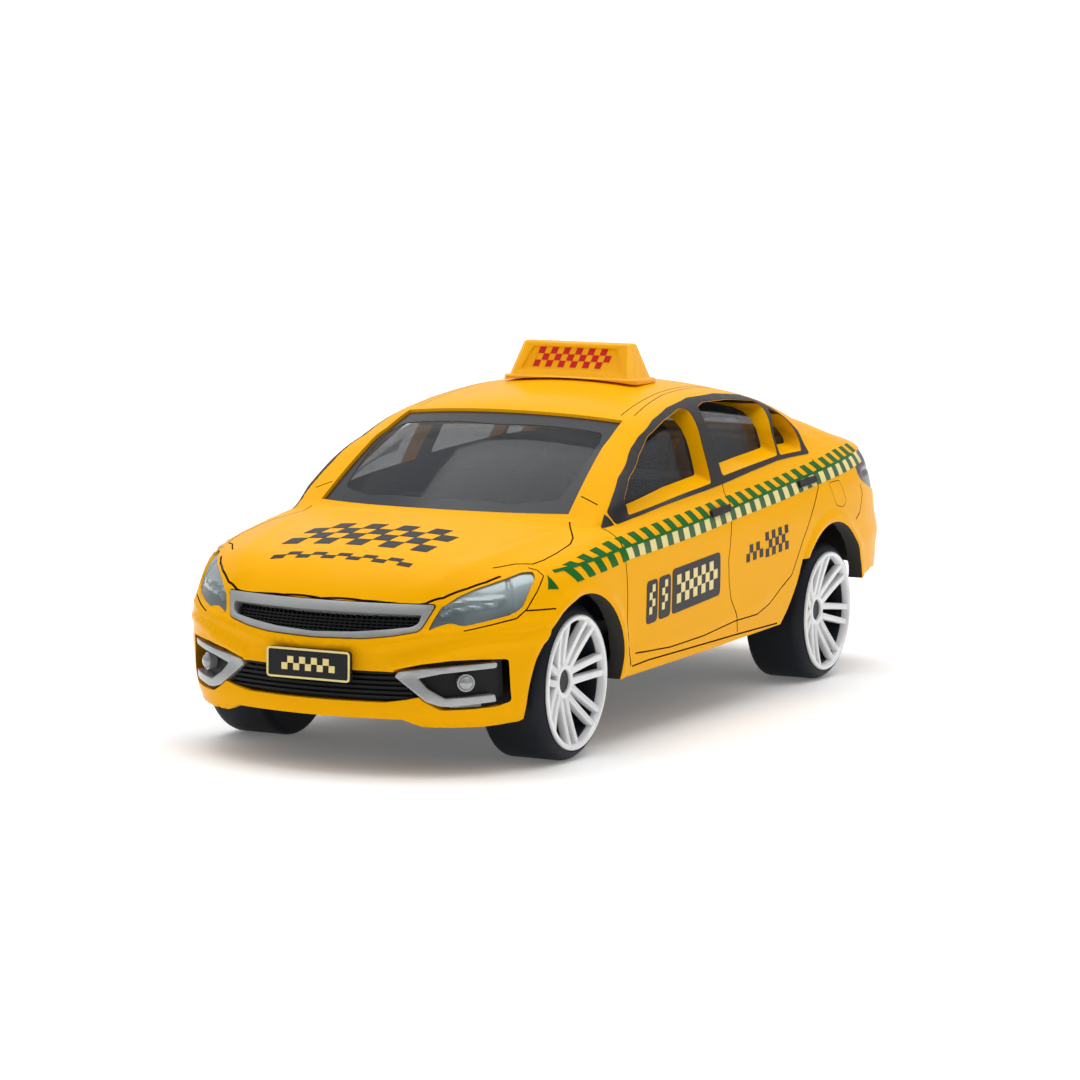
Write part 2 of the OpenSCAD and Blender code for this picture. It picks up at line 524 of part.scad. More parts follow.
// A wheel lies on its axle with its outer face towards +Z; r and z run outwards from the car's middle.
module wheel_at(s, side) placed() translate([0, s, axle_z]) mirror([side < 0 ? 1 : 0, 0, 0])
    rotate([0, 90, 0]) children();
face_z = wheel_out - 0.15;
back_z = wheel_out - tyre_w;
shoulder = 1.0;
rim_r = rim_d / 2;
module wheel(s, side) color("black") wheel_at(s, side) rotate_extrude($fn = 72) difference() {
    union() {
        translate([axle_d / 2 + running_gap, back_z]) square([hub_r, tyre_w - 1.7]);
        translate([rim_r - 1.15, back_z + 0.3]) square([1.4, tyre_w - 0.75]);
        translate([axle_d / 2 + running_gap, back_z + 1.2]) square([rim_r - 1, 0.8]);
        // Tyre section with rounded shoulders.
        translate([tyre_d / 2 - shoulder, face_z - shoulder]) circle(shoulder, $fn = 32);
        translate([tyre_d / 2 - 0.6, back_z + 0.6]) circle(0.6, $fn = 32);
        translate([rim_r - 0.6, back_z + 0.6]) square([tyre_d / 2 - rim_r + 0.6, tyre_w - 0.75 - shoulder]);
        translate([rim_r - 0.6, back_z]) square([tyre_d / 2 - rim_r, 1]);
        translate([rim_r - 0.6, face_z - 1.4]) square([tyre_d / 2 - shoulder - rim_r + 0.6, 1.4]);
    }
    // Seat for the rim face.
    translate([0, face_z - 0.75]) square([rim_r + 0.04, 3]);
    translate([0, axle_end - 0.5]) square([axle_head_r + 0.06, 3]);
}
module rim(s, side) color("whitesmoke") wheel_at(s, side) {
    ring_in = rim_r - 0.5;
    boss_z = wheel_out - 1.5;
    rotate_extrude($fn = 72) polygon([[ring_in, face_z - 0.7], [rim_r, face_z - 0.7],
                                      [rim_r, wheel_out - 0.1], [rim_r - 0.1, wheel_out],
                                      [ring_in, wheel_out]]);
    difference() {
        translate([0, 0, boss_z]) cylinder(h = 0.6, r1 = 1.5, r2 = 1.35);
        translate([0, 0, boss_z - 1]) cylinder(h = 3, r = 0.86);
    }
    // Double spokes rise from the boss to the ring.
    run = ring_in - 1.15;
    rise = 0.95;
    for (i = [0 : spoke_pairs - 1], lean = [-1, 1])
        rotate([0, 0, 360 * i / spoke_pairs + lean * 3.2])
            translate([1.1, lean * 0.36 - 0.17, boss_z + 0.02])
                rotate([0, -atan(rise / run), lean * 5]) cube([run + 0.25, 0.34, 0.42]);
}
module wheel_front_left() wheel(0, 1);
module wheel_front_right() wheel(0, -1);
module wheel_rear_left() wheel(wheelbase, 1);
module wheel_rear_right() wheel(wheelbase, -1);
module rim_front_left() rim(0, 1);
module rim_front_right() rim(0, -1);
module rim_rear_left() rim(wheelbase, 1);
module rim_rear_right() rim(wheelbase, -1);

body_shell();
chassis_base();
interior_tub();
glazing();
roof_sign();
headlamp_lens_left();
headlamp_lens_right();
tail_lamp_left();
tail_lamp_right();
grille_surround();
grille_mesh();
bumper_grille();
fog_bezel_left();
fog_bezel_right();
fog_lamp_left();
fog_lamp_right();
front_plate();
rear_plate();
front_rivet();
rear_rivet();
front_spring();
rear_spring();
front_axle();
rear_axle();
wheel_front_left();
wheel_front_right();
wheel_rear_left();
wheel_rear_right();
rim_front_left();
rim_front_right();
rim_rear_left();
rim_rear_right();
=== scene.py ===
import json
import math
import bpy
import bmesh
import numpy as np
from mathutils import Matrix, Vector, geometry


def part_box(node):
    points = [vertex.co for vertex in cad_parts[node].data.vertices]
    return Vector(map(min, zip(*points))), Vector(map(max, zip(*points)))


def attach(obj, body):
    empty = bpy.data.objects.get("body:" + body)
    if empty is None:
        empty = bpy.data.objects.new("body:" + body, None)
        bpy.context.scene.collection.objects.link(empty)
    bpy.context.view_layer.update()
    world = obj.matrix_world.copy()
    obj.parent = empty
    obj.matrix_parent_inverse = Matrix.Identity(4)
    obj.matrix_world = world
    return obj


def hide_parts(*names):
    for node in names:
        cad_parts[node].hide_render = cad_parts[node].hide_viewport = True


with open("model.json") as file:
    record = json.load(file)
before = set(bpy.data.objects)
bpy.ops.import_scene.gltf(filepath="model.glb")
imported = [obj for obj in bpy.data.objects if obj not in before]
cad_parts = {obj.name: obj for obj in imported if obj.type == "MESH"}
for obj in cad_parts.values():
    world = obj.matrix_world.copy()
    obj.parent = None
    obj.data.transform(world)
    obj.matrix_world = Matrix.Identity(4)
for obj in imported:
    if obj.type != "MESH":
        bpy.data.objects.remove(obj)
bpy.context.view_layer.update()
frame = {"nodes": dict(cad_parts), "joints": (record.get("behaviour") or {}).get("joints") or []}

# Lengths below are millimetres in the car's own terms: x to its left, station behind the front
# axle, z up. A finished piece is scaled to metres and moved to the frame.
MM = 0.001
BODY = "car_body"
SPIN = {j["child"]: j for j in frame["joints"] if j["name"].endswith("_spin")}
FRONT_Y = SPIN["wheel_front_left"]["pos_m"][1] / MM
REAR_Y = SPIN["wheel_rear_left"]["pos_m"][1] / MM
AXLE_Z = SPIN["wheel_front_left"]["pos_m"][2] / MM
WHEELBASE = REAR_Y - FRONT_Y


# ---------------------------------------------------------------- camera, lights and floor

CAMERA_PLACE = (122.5, -246.95, 42.3)
CAMERA_TURN = math.radians(26.61)
CAMERA_DROP = math.radians(6.31)
CAMERA_ROLL = math.radians(0.67)
LENS = 127.07
SKY_SIDE, SKY_TOP, SKY_SEEN = 0.14, 0.95, 1.06
SKY_LEAN = 0.35
FLOOR_GLOW_NEAR, FLOOR_GLOW_FAR = 0.12, 0.75


def add_posed(name, data, place, right, up, back):
    """Object in the scene at place, in metres, with the given axes; it looks along -back."""
    obj = bpy.data.objects.new(name, data)
    bpy.context.scene.collection.objects.link(obj)
    rows = [[right[i], up[i], back[i], place[i]] for i in range(3)]
    obj.matrix_world = Matrix(rows + [[0, 0, 0, 1]])
    return obj


def add_node(tree, kind, values=None, links=None, **options):
    """New shader node with its options, input values and incoming links."""
    made = tree.nodes.new("ShaderNode" + kind)
    for key, value in options.items():
        setattr(made, key, value)
    for key, value in (values or {}).items():
        made.inputs[key].default_value = value
    for key, socket in (links or {}).items():
        tree.links.new(socket, made.inputs[key])
    return made


def add_camera():
    """The main view: a long lens from the car's left front, a little above the bonnet."""
    turn, drop, roll = CAMERA_TURN, CAMERA_DROP, CAMERA_ROLL
    back = np.array([math.sin(turn) * math.cos(drop), -math.cos(turn) * math.cos(drop), math.sin(drop)])
    right = np.cross(-back, (0, 0, 1))
    right /= np.linalg.norm(right)
    up = np.cross(right, -back)
    side = math.cos(roll) * right + math.sin(roll) * up
    top = math.cos(roll) * up - math.sin(roll) * right
    data = bpy.data.cameras.new("camera")
    data.lens = LENS
    data.sensor_width = 36
    data.clip_start = 0.01
    data.clip_end = 20
    bpy.context.scene.camera = add_posed("camera", data, [c * MM for c in CAMERA_PLACE], side, top, back)


def add_softbox(name, place, size, power):
    """Rectangular soft light at place, turned towards the car."""
    data = bpy.data.lights.new(name, "AREA")
    data.shape = "RECTANGLE"
    data.size, data.size_y = size
    data.energy = power
    back = np.array(place) - (0, 0, 0.01)
    back /= np.linalg.norm(back)
    right = np.cross((0, 1, 0) if abs(back[2]) > 0.95 else (0, 0, 1), back)
    right /= np.linalg.norm(right)
    add_posed(name, data, place, right, np.cross(back, right), back)


def add_sky():
    """Surroundings that look white, and light the car from overhead more than from the sides."""
    world = bpy.data.worlds.new("studio")
    bpy.context.scene.world = world
    world.use_nodes = True
    tree = world.node_tree
    place = add_node(tree, "TexCoord")
    bright = (-SKY_LEAN * math.sin(CAMERA_TURN), SKY_LEAN * math.cos(CAMERA_TURN), 0.9)
    towards = add_node(tree, "VectorMath", {1: bright}, {0: place.outputs["Generated"]},
                       operation="DOT_PRODUCT")
    level = add_node(tree, "MapRange",
                     {"From Min": -0.1, "From Max": 0.9, "To Min": SKY_SIDE, "To Max": SKY_TOP},
                     {"Value": towards.outputs["Value"]}, interpolation_type="SMOOTHSTEP")
    seen = add_node(tree, "LightPath")
    strength = add_node(tree, "Mix", {"B": SKY_SEEN},
                        {"Factor": seen.outputs["Is Camera Ray"], "A": level.outputs["Result"]})
    background = tree.nodes["Background"].inputs
    background["Color"].default_value = (1, 1, 1, 1)
    tree.links.new(strength.outputs["Result"], background["Strength"])


def add_studio():
    """Pale floor that brightens away from the car, surroundings and three softboxes."""
    add_sky()
    add_softbox("overhead", (0.0, 0.05, 0.42), (0.5, 0.34), 1.15)
    add_softbox("front_left", (0.42, -0.34, 0.26), (0.22, 0.3), 0.1)
    add_softbox("front_right", (-0.4, -0.3, 0.2), (0.16, 0.3), 0.05)
    bpy.ops.mesh.primitive_grid_add(x_subdivisions=8, y_subdivisions=8, size=120)
    floor = bpy.context.object
    floor.name = "floor"
    paper = plain("floor_paper", (0.97, 0.97, 0.97), 0.85, grain=0.01)
    tree = paper.node_tree
    place = add_node(tree, "TexCoord")
    distance = add_node(tree, "VectorMath", None, {0: place.outputs["Object"]}, operation="LENGTH")
    glow = add_node(tree, "MapRange", {"From Min": 0.12, "From Max": 0.6, "To Min": FLOOR_GLOW_NEAR,
                                       "To Max": FLOOR_GLOW_FAR}, {"Value": distance.outputs["Value"]})
    shader = tree.nodes["Principled BSDF"].inputs
    shader["Emission Color"].default_value = (1, 1, 1, 1)
    tree.links.new(glow.outputs["Result"], shader["Emission Strength"])
    floor.data.materials.append(paper)
    bpy.context.scene.view_settings.view_transform = "Standard"


# ---------------------------------------------------------------- materials

def plain(name, colour, roughness, metallic=0.0, coat=0.0, grain=0.04, grain_size=0.6,
          bump=0.0, bump_size=0.25, alpha=1.0, specular=0.5, foot=None):
    """Finish with a fine procedural variation in colour, roughness and height.

    grain is the share that the colour varies by, over grain_size millimetres; bump is the height of
    the fine texture in micrometres, over bump_size millimetres. foot is (colour, low, high): that
    colour, a darker painted shade, fills everything under the height low and fades out at the height high.
    """
    material = bpy.data.materials.new(name)
    material.use_nodes = True
    tree = material.node_tree
    shader = tree.nodes["Principled BSDF"].inputs
    place = add_node(tree, "TexCoord").outputs["Object"]

    def noise(size, detail):
        made = add_node(tree, "TexNoise", {"Scale": 1 / (size * MM), "Detail": detail}, {"Vector": place})
        return made.outputs["Fac"]

    dark, light = ([min(c * share, 1) for c in colour] + [1] for share in (1 - grain, 1 + grain))
    tint = add_node(tree, "Mix", None, {"Factor": noise(grain_size, 4)}, data_type="RGBA")
    tint.inputs["A"].default_value = dark
    tint.inputs["B"].default_value = light
    if foot:
        split = add_node(tree, "SeparateXYZ", None, {"Vector": place})
        height = add_node(tree, "MapRange", {"From Min": foot[1] * MM, "From Max": foot[2] * MM},
                          {"Value": split.outputs["Z"]}, interpolation_type="SMOOTHSTEP")
        tint = add_node(tree, "Mix", {"A": (*foot[0], 1)},
                        {"Factor": height.outputs["Result"], "B": tint.outputs["Result"]},
                        data_type="RGBA")
    tree.links.new(tint.outputs["Result"], shader["Base Color"])
    spread = add_node(tree, "MapRange", {"To Min": max(roughness * 0.85, 0.01),
                                         "To Max": min(roughness * 1.15, 1)},
                      {"Value": noise(grain_size * 2.5, 2)})
    tree.links.new(spread.outputs["Result"], shader["Roughness"])
    if bump:
        relief = add_node(tree, "Bump", {"Strength": 1, "Distance": bump * 1e-6},
                          {"Height": noise(bump_size, 3)})
        tree.links.new(relief.outputs["Normal"], shader["Normal"])
    values = {"Metallic": metallic, "Specular IOR Level": specular, "Coat Weight": coat,
              "Coat Roughness": 0.05, "Alpha": alpha}
    for key, value in values.items():
        shader[key].default_value = value
    return material


def make_materials():
    """Every finish on the car, by name."""
    return {
        "paint": plain("amber_enamel", (0.96, 0.445, 0.001), 0.25, grain=0.02, grain_size=3,
                       bump=0.8, bump_size=0.5, specular=0.03),
        # Darker amber for the panel-line grooves: painted shade where the grooves lie in shadow.
        "groove": plain("painted_shade_in_grooves", (0.09, 0.025, 0.002), 0.6, grain=0.3, specular=0.05),
        # Near black on the shell's inside and the arch walls: painted shade where the light does not reach.
        "casting": plain("painted_shade_inside", (0.03, 0.027, 0.022), 0.7, grain=0.2, bump=6),
        "glass": plain("smoke_glazing", (0.03, 0.034, 0.042), 0.06, grain=0.1, alpha=0.45, specular=0.3),
        "frit": plain("glazing_border", (0.022, 0.024, 0.028), 0.25, grain=0.1, specular=0.2),
        "sign": plain("sign_moulding", (0.98, 0.47, 0.004), 0.28, coat=0.1, grain=0.03, bump=0.8,
                      specular=0.15),
        # The lens goes darker towards its foot: a darker copy of its own colour, painted shade, fills it
        # below 10.2 mm and fades out by 11.9 mm.
        "lamp": plain("silvered_lamp", (0.26, 0.32, 0.335), 0.25, metallic=0.3, coat=0.7, grain=0.1,
                      grain_size=1.5, foot=((0.11, 0.145, 0.155), 10.2, 11.9)),
        "smoke": plain("smoked_lamp", (0.05, 0.035, 0.05), 0.25, coat=0.1, grain=0.1, specular=0.25),
        "silver": plain("silver_trim", (0.4, 0.41, 0.41), 0.34, metallic=0.5, coat=0.2, grain=0.08,
                        bump=1.5),
        "black": plain("black_moulding", (0.014, 0.014, 0.016), 0.45, grain=0.15, bump=3,
                       specular=0.2),
        "lamp_grey": plain("grey_lens", (0.36, 0.37, 0.38), 0.2, metallic=0.3, coat=0.8, grain=0.1),
        "ink_black": plain("ink_black", (0.022, 0.018, 0.02), 0.4, grain=0.25, grain_size=0.3,
                           specular=0.15),
        "ink_green": plain("ink_green", (0.002, 0.13, 0.01), 0.4, grain=0.25, grain_size=0.4,
                           specular=0.12),
        "ink_moss": plain("ink_moss", (0.05, 0.13, 0.055), 0.42, grain=0.35, grain_size=0.4,
                          specular=0.12),
        "ink_cream": plain("ink_cream", (0.86, 0.72, 0.3), 0.4, grain=0.08, grain_size=0.3,
                           specular=0.15),
        "ink_red": plain("ink_red", (0.6, 0.018, 0.02), 0.38, grain=0.15, grain_size=0.3,
                         specular=0.15),
        "tyre": plain("tyre_vinyl", (0.009, 0.012, 0.017), 0.5, grain=0.2, grain_size=1.2, bump=4,
                      bump_size=0.3, specular=0.2),
        "rim": plain("rim_paint", (0.88, 0.88, 0.89), 0.3, metallic=0.1, coat=0.2, grain=0.05,
                     grain_size=0.3, bump=3, bump_size=0.15),
        "hub": plain("hub_shadow", (0.012, 0.012, 0.014), 0.55, grain=0.2, bump=3),
        "steel": plain("drawn_steel", (0.55, 0.55, 0.56), 0.28, metallic=1, grain=0.06, bump=1),
        "cabin": plain("cabin_moulding", (0.05, 0.053, 0.06), 0.6, grain=0.15, bump=6),
        "base": plain("base_moulding", (0.01, 0.01, 0.012), 0.5, grain=0.2, bump=5, specular=0.2),
    }


# ---------------------------------------------------------------- the body's shape

PLAN_HALF = [(-13, 12.6), (-6, 13.4), (2, 13.8), (12, 13.95), (28, 13.95), (40, 13.9), (48, 13.45),
             (54, 12.6), (58.5, 11.5)]
SIDE_LEAN = [(3.4, -0.95), (5.2, -0.45), (7, -0.12), (9.5, 0), (12.3, -0.05), (14.2, -0.3),
             (15.6, -0.7), (16.8, -1.3), (18.5, -2.6)]
NOSE_LINE = [(3.4, -12.3), (4.6, -12.7), (6.8, -12.5), (8.8, -12.45), (9.65, -12.15), (11.2, -11.45),
             (12.4, -10.7), (14, -9.3)]
TAIL_LINE = [(4.6, 57), (6.5, 57.7), (9.5, 57.95), (11.2, 57.85), (12.4, 57.2), (14.5, 57.05),
             (16.4, 56.8), (17.9, 56.4)]
DECK_LINE = [(-13, 11), (-11.2, 12.3), (-9, 13.3), (-5, 14.35), (0, 15.2), (5, 15.9), (12, 16.5),
             (24, 17), (40, 17.7), (50, 18.1), (55, 18.05), (58.5, 17.7)]
DECK_CROWN = [(-13, 1), (3, 1), (20, 0.6), (50, 0.5), (58.5, 0.5)]
FLOOR_LINE = [(-20, 3.5), (-13, 3.5), (-10.5, 3.27), (-8.7, 3.24), (-6.7, 3.45), (-5, 3.9), (5, 4.75),
              (21, 5.1), (33, 5.45), (47.4, 6.7), (50, 7.4), (52.2, 7.7), (70, 7.7)]
ROOF_LINE = [(13, 21.3), (16, 22.2), (20, 22.9), (25, 23.4), (29, 23.5), (34, 23.15), (38, 22.5),
             (41, 21.75), (44, 20.8)]
CABIN_HALF = [(2, 11.6), (8, 12.45), (16, 12.7), (28, 12.75), (38, 12.5), (46, 11.9), (53, 10.9)]
CABIN_FLARE = [(0, 0), (36, 0), (42, 0.35), (50, 0.9), (56, 1)]
BELT_Z = 16.3
WALL = 1.1
FIT_GAP = 0.08
ARCHES = [(-0.3, 5.2, 6.05), (42.3, 4.9, 7.3)]
REAR_ARCH_FRONT = [(31.5, 3), (32.8, 5.4), (33.6, 6.4), (34.8, 8.1), (35.9, 10), (42, 10), (42, 3)]


def curve(table, t):
    """Smooth curve through a table of (t, value)."""
    xs, ys = np.array(table, float).T
    ends = np.arange(len(xs))
    low, high = np.maximum(ends - 1, 0), np.minimum(ends + 1, len(xs) - 1)
    slopes = (ys[high] - ys[low]) / (xs[high] - xs[low])
    t = np.clip(t, xs[0], xs[-1])
    i = np.clip(np.searchsorted(xs, t, side="right") - 1, 0, len(xs) - 2)
    h = xs[i + 1] - xs[i]
    u = (t - xs[i]) / h
    return ((2 * u**3 - 3 * u**2 + 1) * ys[i] + (u**3 - 2 * u**2 + u) * h * slopes[i]
            + (3 * u**2 - 2 * u**3) * ys[i + 1] + (u**3 - u**2) * h * slopes[i + 1])


def soft_max(a, b, k):
    """Larger of two fields, with a rounded corner of size k."""
    return np.maximum(a, b) + np.maximum(k - np.abs(a - b), 0) ** 2 / (4 * k)


def lower_body(p):
    """Field of the lower body, negative inside."""
    x, s, z = p[..., 0], p[..., 1], p[..., 2]
    side = np.abs(x) - curve(PLAN_HALF, s) - curve(SIDE_LEAN, z)
    front = curve(NOSE_LINE, z) + 0.0256 * x**2 - s
    rear = s - curve(TAIL_LINE, z) + 0.010 * x**2
    top = z - curve(DECK_LINE, s) + 0.0075 * x**2 * curve(DECK_CROWN, s)
    return soft_max(soft_max(soft_max(side, front, 5), rear, 3.2), top, 1.6)


def cabin(p):
    """Field of the cabin from the belt line up to the roof."""
    x, s, z = p[..., 0], p[..., 1], p[..., 2]
    rise = np.maximum(z - BELT_Z, 0)
    flare = curve(CABIN_FLARE, s) * np.exp(-np.maximum(z - 15.6, 0) / 1.3)
    side = np.abs(x) - curve(CABIN_HALF, s) + 0.36 * rise + 0.012 * rise**2 - flare
    top = z - curve(ROOF_LINE, s) + 0.011 * x**2
    u = (np.maximum(z, 15.2) - 15.6) / 6.3
    screen = 2.7 + 11.6 * u - 0.55 * np.sin(np.pi * np.clip(u, 0, 1)) + (0.0252 - 0.003 * u) * x**2
    w = (np.maximum(z, 17.2) - 17.6) / 4.3
    back = 52.2 - 10.9 * w + 0.5 * np.sin(np.pi * np.clip(w, 0, 1)) - 0.02 * x**2
    return soft_max(soft_max(soft_max(side, top, 1.8), (screen - s) * 0.48, 0.9), (s - back) * 0.37, 0.9)


def along(points, a, b):
    """Distance from (a, b) to a line of points."""
    nearest = np.full(np.shape(a), 1e9)
    for (a0, b0), (a1, b1) in zip(points, points[1:]):
        da, db = a1 - a0, b1 - b0
        t = np.clip(((a - a0) * da + (b - b0) * db) / (da * da + db * db), 0, 1)
        nearest = np.minimum(nearest, np.hypot(a - a0 - t * da, b - b0 - t * db))
    return nearest


def swell(distance, width):
    """Rounded ridge: 1 at no distance, fading out over width."""
    return np.exp(-(distance / width) ** 2)


# Ridges seen from the front as (|x|, z), and from the side as (station, z): line, height, width.
FRONT_RIDGES = [([(5.6, 7.2), (8.2, 8.0), (9.5, 8.5), (10.9, 8.8), (13.4, 8.9)], 0.22, 0.4),
                ([(0, 8.35), (4.4, 8.5), (7.4, 9.25), (10.5, 9.5), (13.5, 9.9)], 0.2, 0.35)]
SIDE_RIDGES = [([(9, 6.6), (16, 6.75), (24, 7.2), (29, 7.6)], 0.08, 0.7),
               ([(-7, 10.4), (-4.4, 10.6), (-2, 11.1)], 0.1, 0.6),
               ([(44, 9.4), (50, 10.2), (56, 10.7)], 0.12, 0.7)]
# Ridges seen from above as (|x|, station).
TOP_RIDGES = [([(7.4, -9.2), (8.6, -6.5), (9.3, -3), (9.9, 1.5)], 0.2, 0.9)]


def relief(p):
    """How far the pressed ridges and the arch lips stand out of the plain shape."""
    x, s, z = np.abs(p[..., 0]), p[..., 1], p[..., 2]
    out = np.zeros(x.shape)
    for station, height, radius in ARCHES:
        ring = np.hypot(s - station, z - height) - radius
        out = out + 0.17 * swell(ring - 0.3, 0.38) * (x > 9)
    on_nose = 1 / (1 + np.exp((s + 4) / 0.7))
    for line, height, width in FRONT_RIDGES:
        out = out + height * swell(along(line, x, z), width) * on_nose
    for line, height, width in SIDE_RIDGES:
        out = out + height * swell(along(line, s, z), width) * (x > 9)
    for line, height, width in TOP_RIDGES:
        out = out + height * swell(along(line, x, s), width) * (z > 11)
    return out


def car(p):
    """Field of the whole painted body: lower body and cabin run together."""
    low, high = lower_body(p) - relief(p), cabin(p)
    k = 0.35 + 1.6 / (1 + np.exp((40 - p[..., 1]) / 1.5))
    return np.minimum(low, high) - np.maximum(k - np.abs(low - high), 0) ** 2 / (4 * k)


def reach(shape, o, d, depth, far=40.0):
    """Distance from o along d to the place that lies depth below the shape's surface."""
    near = np.zeros(o.shape[:-1])
    far = np.full(o.shape[:-1], far)
    for _ in range(22):
        middle = (near + far) / 2
        within = shape(o + d * middle[..., None]) < -depth
        near = np.where(within, middle, near)
        far = np.where(within, far, middle)
    return (near + far) / 2


def outward(shape, p):
    """Unit normals of a shape at the points p."""
    step = 0.02
    n = np.stack([shape(p + step * e) - shape(p - step * e) for e in np.eye(3)], -1)
    return n / np.maximum(np.linalg.norm(n, axis=-1, keepdims=True), 1e-9)


# ---------------------------------------------------------------- mesh tools

def new_object(name, verts, faces, material_index=0):
    """Object from vertices in millimetres and faces."""
    mesh = bpy.data.meshes.new(name)
    mesh.from_pydata([tuple(v) for v in np.asarray(verts, float)], [], [tuple(f) for f in faces])
    mesh.update()
    mesh.polygons.foreach_set("material_index", [material_index] * len(mesh.polygons))
    obj = bpy.data.objects.new(name, mesh)
    bpy.context.scene.collection.objects.link(obj)
    return obj


def outward_faces(obj):
    """Turns every face of a closed mesh outwards, and drops the points that no face uses."""
    work = bmesh.new()
    work.from_mesh(obj.data)
    bmesh.ops.delete(work, geom=[v for v in work.verts if not v.link_faces], context="VERTS")
    bmesh.ops.recalc_face_normals(work, faces=work.faces)
    work.to_mesh(obj.data)
    work.free()
    return obj


def bands(rings, n, closed=False):
    """Quads between neighbouring rings of n points; closed joins the last ring to the first."""
    pairs = [(i * n, (i + 1) % rings * n) for i in range(rings if closed else rings - 1)]
    return [(a + j, a + (j + 1) % n, b + (j + 1) % n, b + j) for a, b in pairs for j in range(n)]


def swept(name, verts, n, closed=False, material_index=0):
    """Solid through rings of n points each, with capped ends unless it is closed."""
    faces = bands(len(verts) // n, n, closed)
    if not closed:
        faces += [tuple(range(n))[::-1], tuple(range(len(verts) - n, len(verts)))]
    return outward_faces(new_object(name, verts, faces, material_index))


def loft(name, shape, depth, front, rear, height, fan, steps, around, floor, material_index=0):
    """Closed solid of a shape, pulled in by depth: rings round a spine at one height."""
    stops = [(front, 90 * i / fan) for i in range(1, fan + 1)]
    stops += [(front + (rear - front) * i / steps, 90) for i in range(1, steps)]
    stops += [(rear, 90 + 90 * i / fan) for i in range(fan)]
    turns = np.arange(around) * 2 * np.pi / around
    o = np.array([[(0, s, height)] * around for s, _ in stops], float)
    tilt = np.radians([t for _, t in stops])[:, None]
    d = np.stack([np.cos(turns) * np.sin(tilt), -np.cos(tilt) + 0 * turns, np.sin(turns) * np.sin(tilt)], -1)
    distance = reach(shape, o, d, depth)
    distance = np.minimum(distance, (height - floor) / np.maximum(-d[..., 2], 0.001))
    rings = (o + d * distance[..., None]).reshape(-1, 3)
    poles = np.array([[0, front, height], [0, rear, height]], float)
    ways = np.array([[0, -1, 0], [0, 1, 0]], float)
    poles = poles + ways * reach(shape, poles, ways, depth)[:, None]
    verts = np.concatenate([rings, poles])
    faces, end = bands(len(stops), around), len(rings)
    last = end - around
    for j in range(around):
        k = (j + 1) % around
        faces += [(end, k, j), (end + 1, last + j, last + k)]
    return outward_faces(new_object(name, verts, faces, material_index))


def prism(name, outline, place, low, high, material_index=0):
    """Closed prism: place turns (u, v, w) into a point, and w runs from low to high."""
    verts = [place(u, v, w) for w in (low, high) for u, v in outline]
    return swept(name, verts, len(outline), material_index=material_index)


def from_side(u, v, w):
    return (w, u, v)


def from_front(u, v, w):
    return (u, w, v)


def from_above(u, v, w):
    return (u, v, w)


def diagonal(rear):
    """Turns (u, z, w) into a point, w being the distance out along the corner's diagonal."""
    turn = math.radians(135 if rear else 45)
    base = 46 if rear else 0
    return lambda u, v, w: (math.cos(turn) * u + math.sin(turn) * w,
                            base + math.sin(turn) * u - math.cos(turn) * w, v)


def mirrored(obj):
    """Adds the other side's copy of everything in obj's mesh."""
    work = bmesh.new()
    work.from_mesh(obj.data)
    made = bmesh.ops.duplicate(work, geom=work.verts[:] + work.edges[:] + work.faces[:])["geom"]
    verts = [g for g in made if isinstance(g, bmesh.types.BMVert)]
    faces = [g for g in made if isinstance(g, bmesh.types.BMFace)]
    for v in verts:
        v.co.x = -v.co.x
    bmesh.ops.reverse_faces(work, faces=faces)
    work.to_mesh(obj.data)
    work.free()
    return obj


def opposite(obj, name):
    """The other side's copy of obj as an object of its own, still in millimetres."""
    twin = bpy.data.objects.new(name, obj.data.copy())
    bpy.context.scene.collection.objects.link(twin)
    twin.data.transform(Matrix.Scale(-1, 4, (1, 0, 0)))
    twin.data.flip_normals()
    return twin


def applied(obj):
    """Fixes obj's modifiers into its mesh."""
    graph = bpy.context.evaluated_depsgraph_get()
    mesh = bpy.data.meshes.new_from_object(obj.evaluated_get(graph))
    obj.modifiers.clear()
    obj.data = mesh
    return obj


def cut(obj, tool):
    """Cuts tool from obj and removes the tool."""
    step = obj.modifiers.new("cut", "BOOLEAN")
    step.object = tool
    step.solver = "MANIFOLD"
    applied(obj)
    bpy.data.objects.remove(tool)


def joined(objects, name):
    """One object from several, still in millimetres."""
    verts, faces, kinds = [], [], []
    for o in objects:
        base = len(verts)
        verts += [tuple(v.co) for v in o.data.vertices]
        faces += [tuple(base + i for i in p.vertices) for p in o.data.polygons]
        kinds += [p.material_index for p in o.data.polygons]
        bpy.data.objects.remove(o)
    obj = new_object(name, verts, faces)
    obj.data.polygons.foreach_set("material_index", kinds)
    return obj


def read(items, name, per=1, kind=float):
    """One attribute of every item in a mesh's collection, as an array of per values each."""
    values = np.zeros(len(items) * per, kind)
    items.foreach_get(name, values)
    return values.reshape(-1, per) if per > 1 else values


def add_bevel(obj, width):
    """Rounds obj's sharp edges by a width in millimetres, with a modifier."""
    step = obj.modifiers.new("bevel", "BEVEL")
    step.width = width * MM
    step.segments = 2
    step.limit_method = "ANGLE"
    step.angle_limit = math.radians(38)


def settle(obj, materials, body=BODY, bevel=0.0, degrees=32, replaces=()):
    """Last step for a piece: metres, the frame's place, bevelled edges, finish, slot and body."""
    obj.data.transform(Matrix.Translation((0, FRONT_Y * MM, 0)) @ Matrix.Scale(MM, 4))
    if bevel:
        add_bevel(obj, bevel)
        applied(obj)
    kinds = read(obj.data.polygons, "material_index", kind=int)
    obj.data.materials.clear()
    for m in materials:
        obj.data.materials.append(LOOK[m])
    obj.data.polygons.foreach_set("material_index", np.minimum(kinds, len(materials) - 1))
    obj.data.shade_smooth()
    obj.data.set_sharp_from_angle(angle=math.radians(degrees))
    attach(obj, body)
    if replaces:
        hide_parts(*replaces)


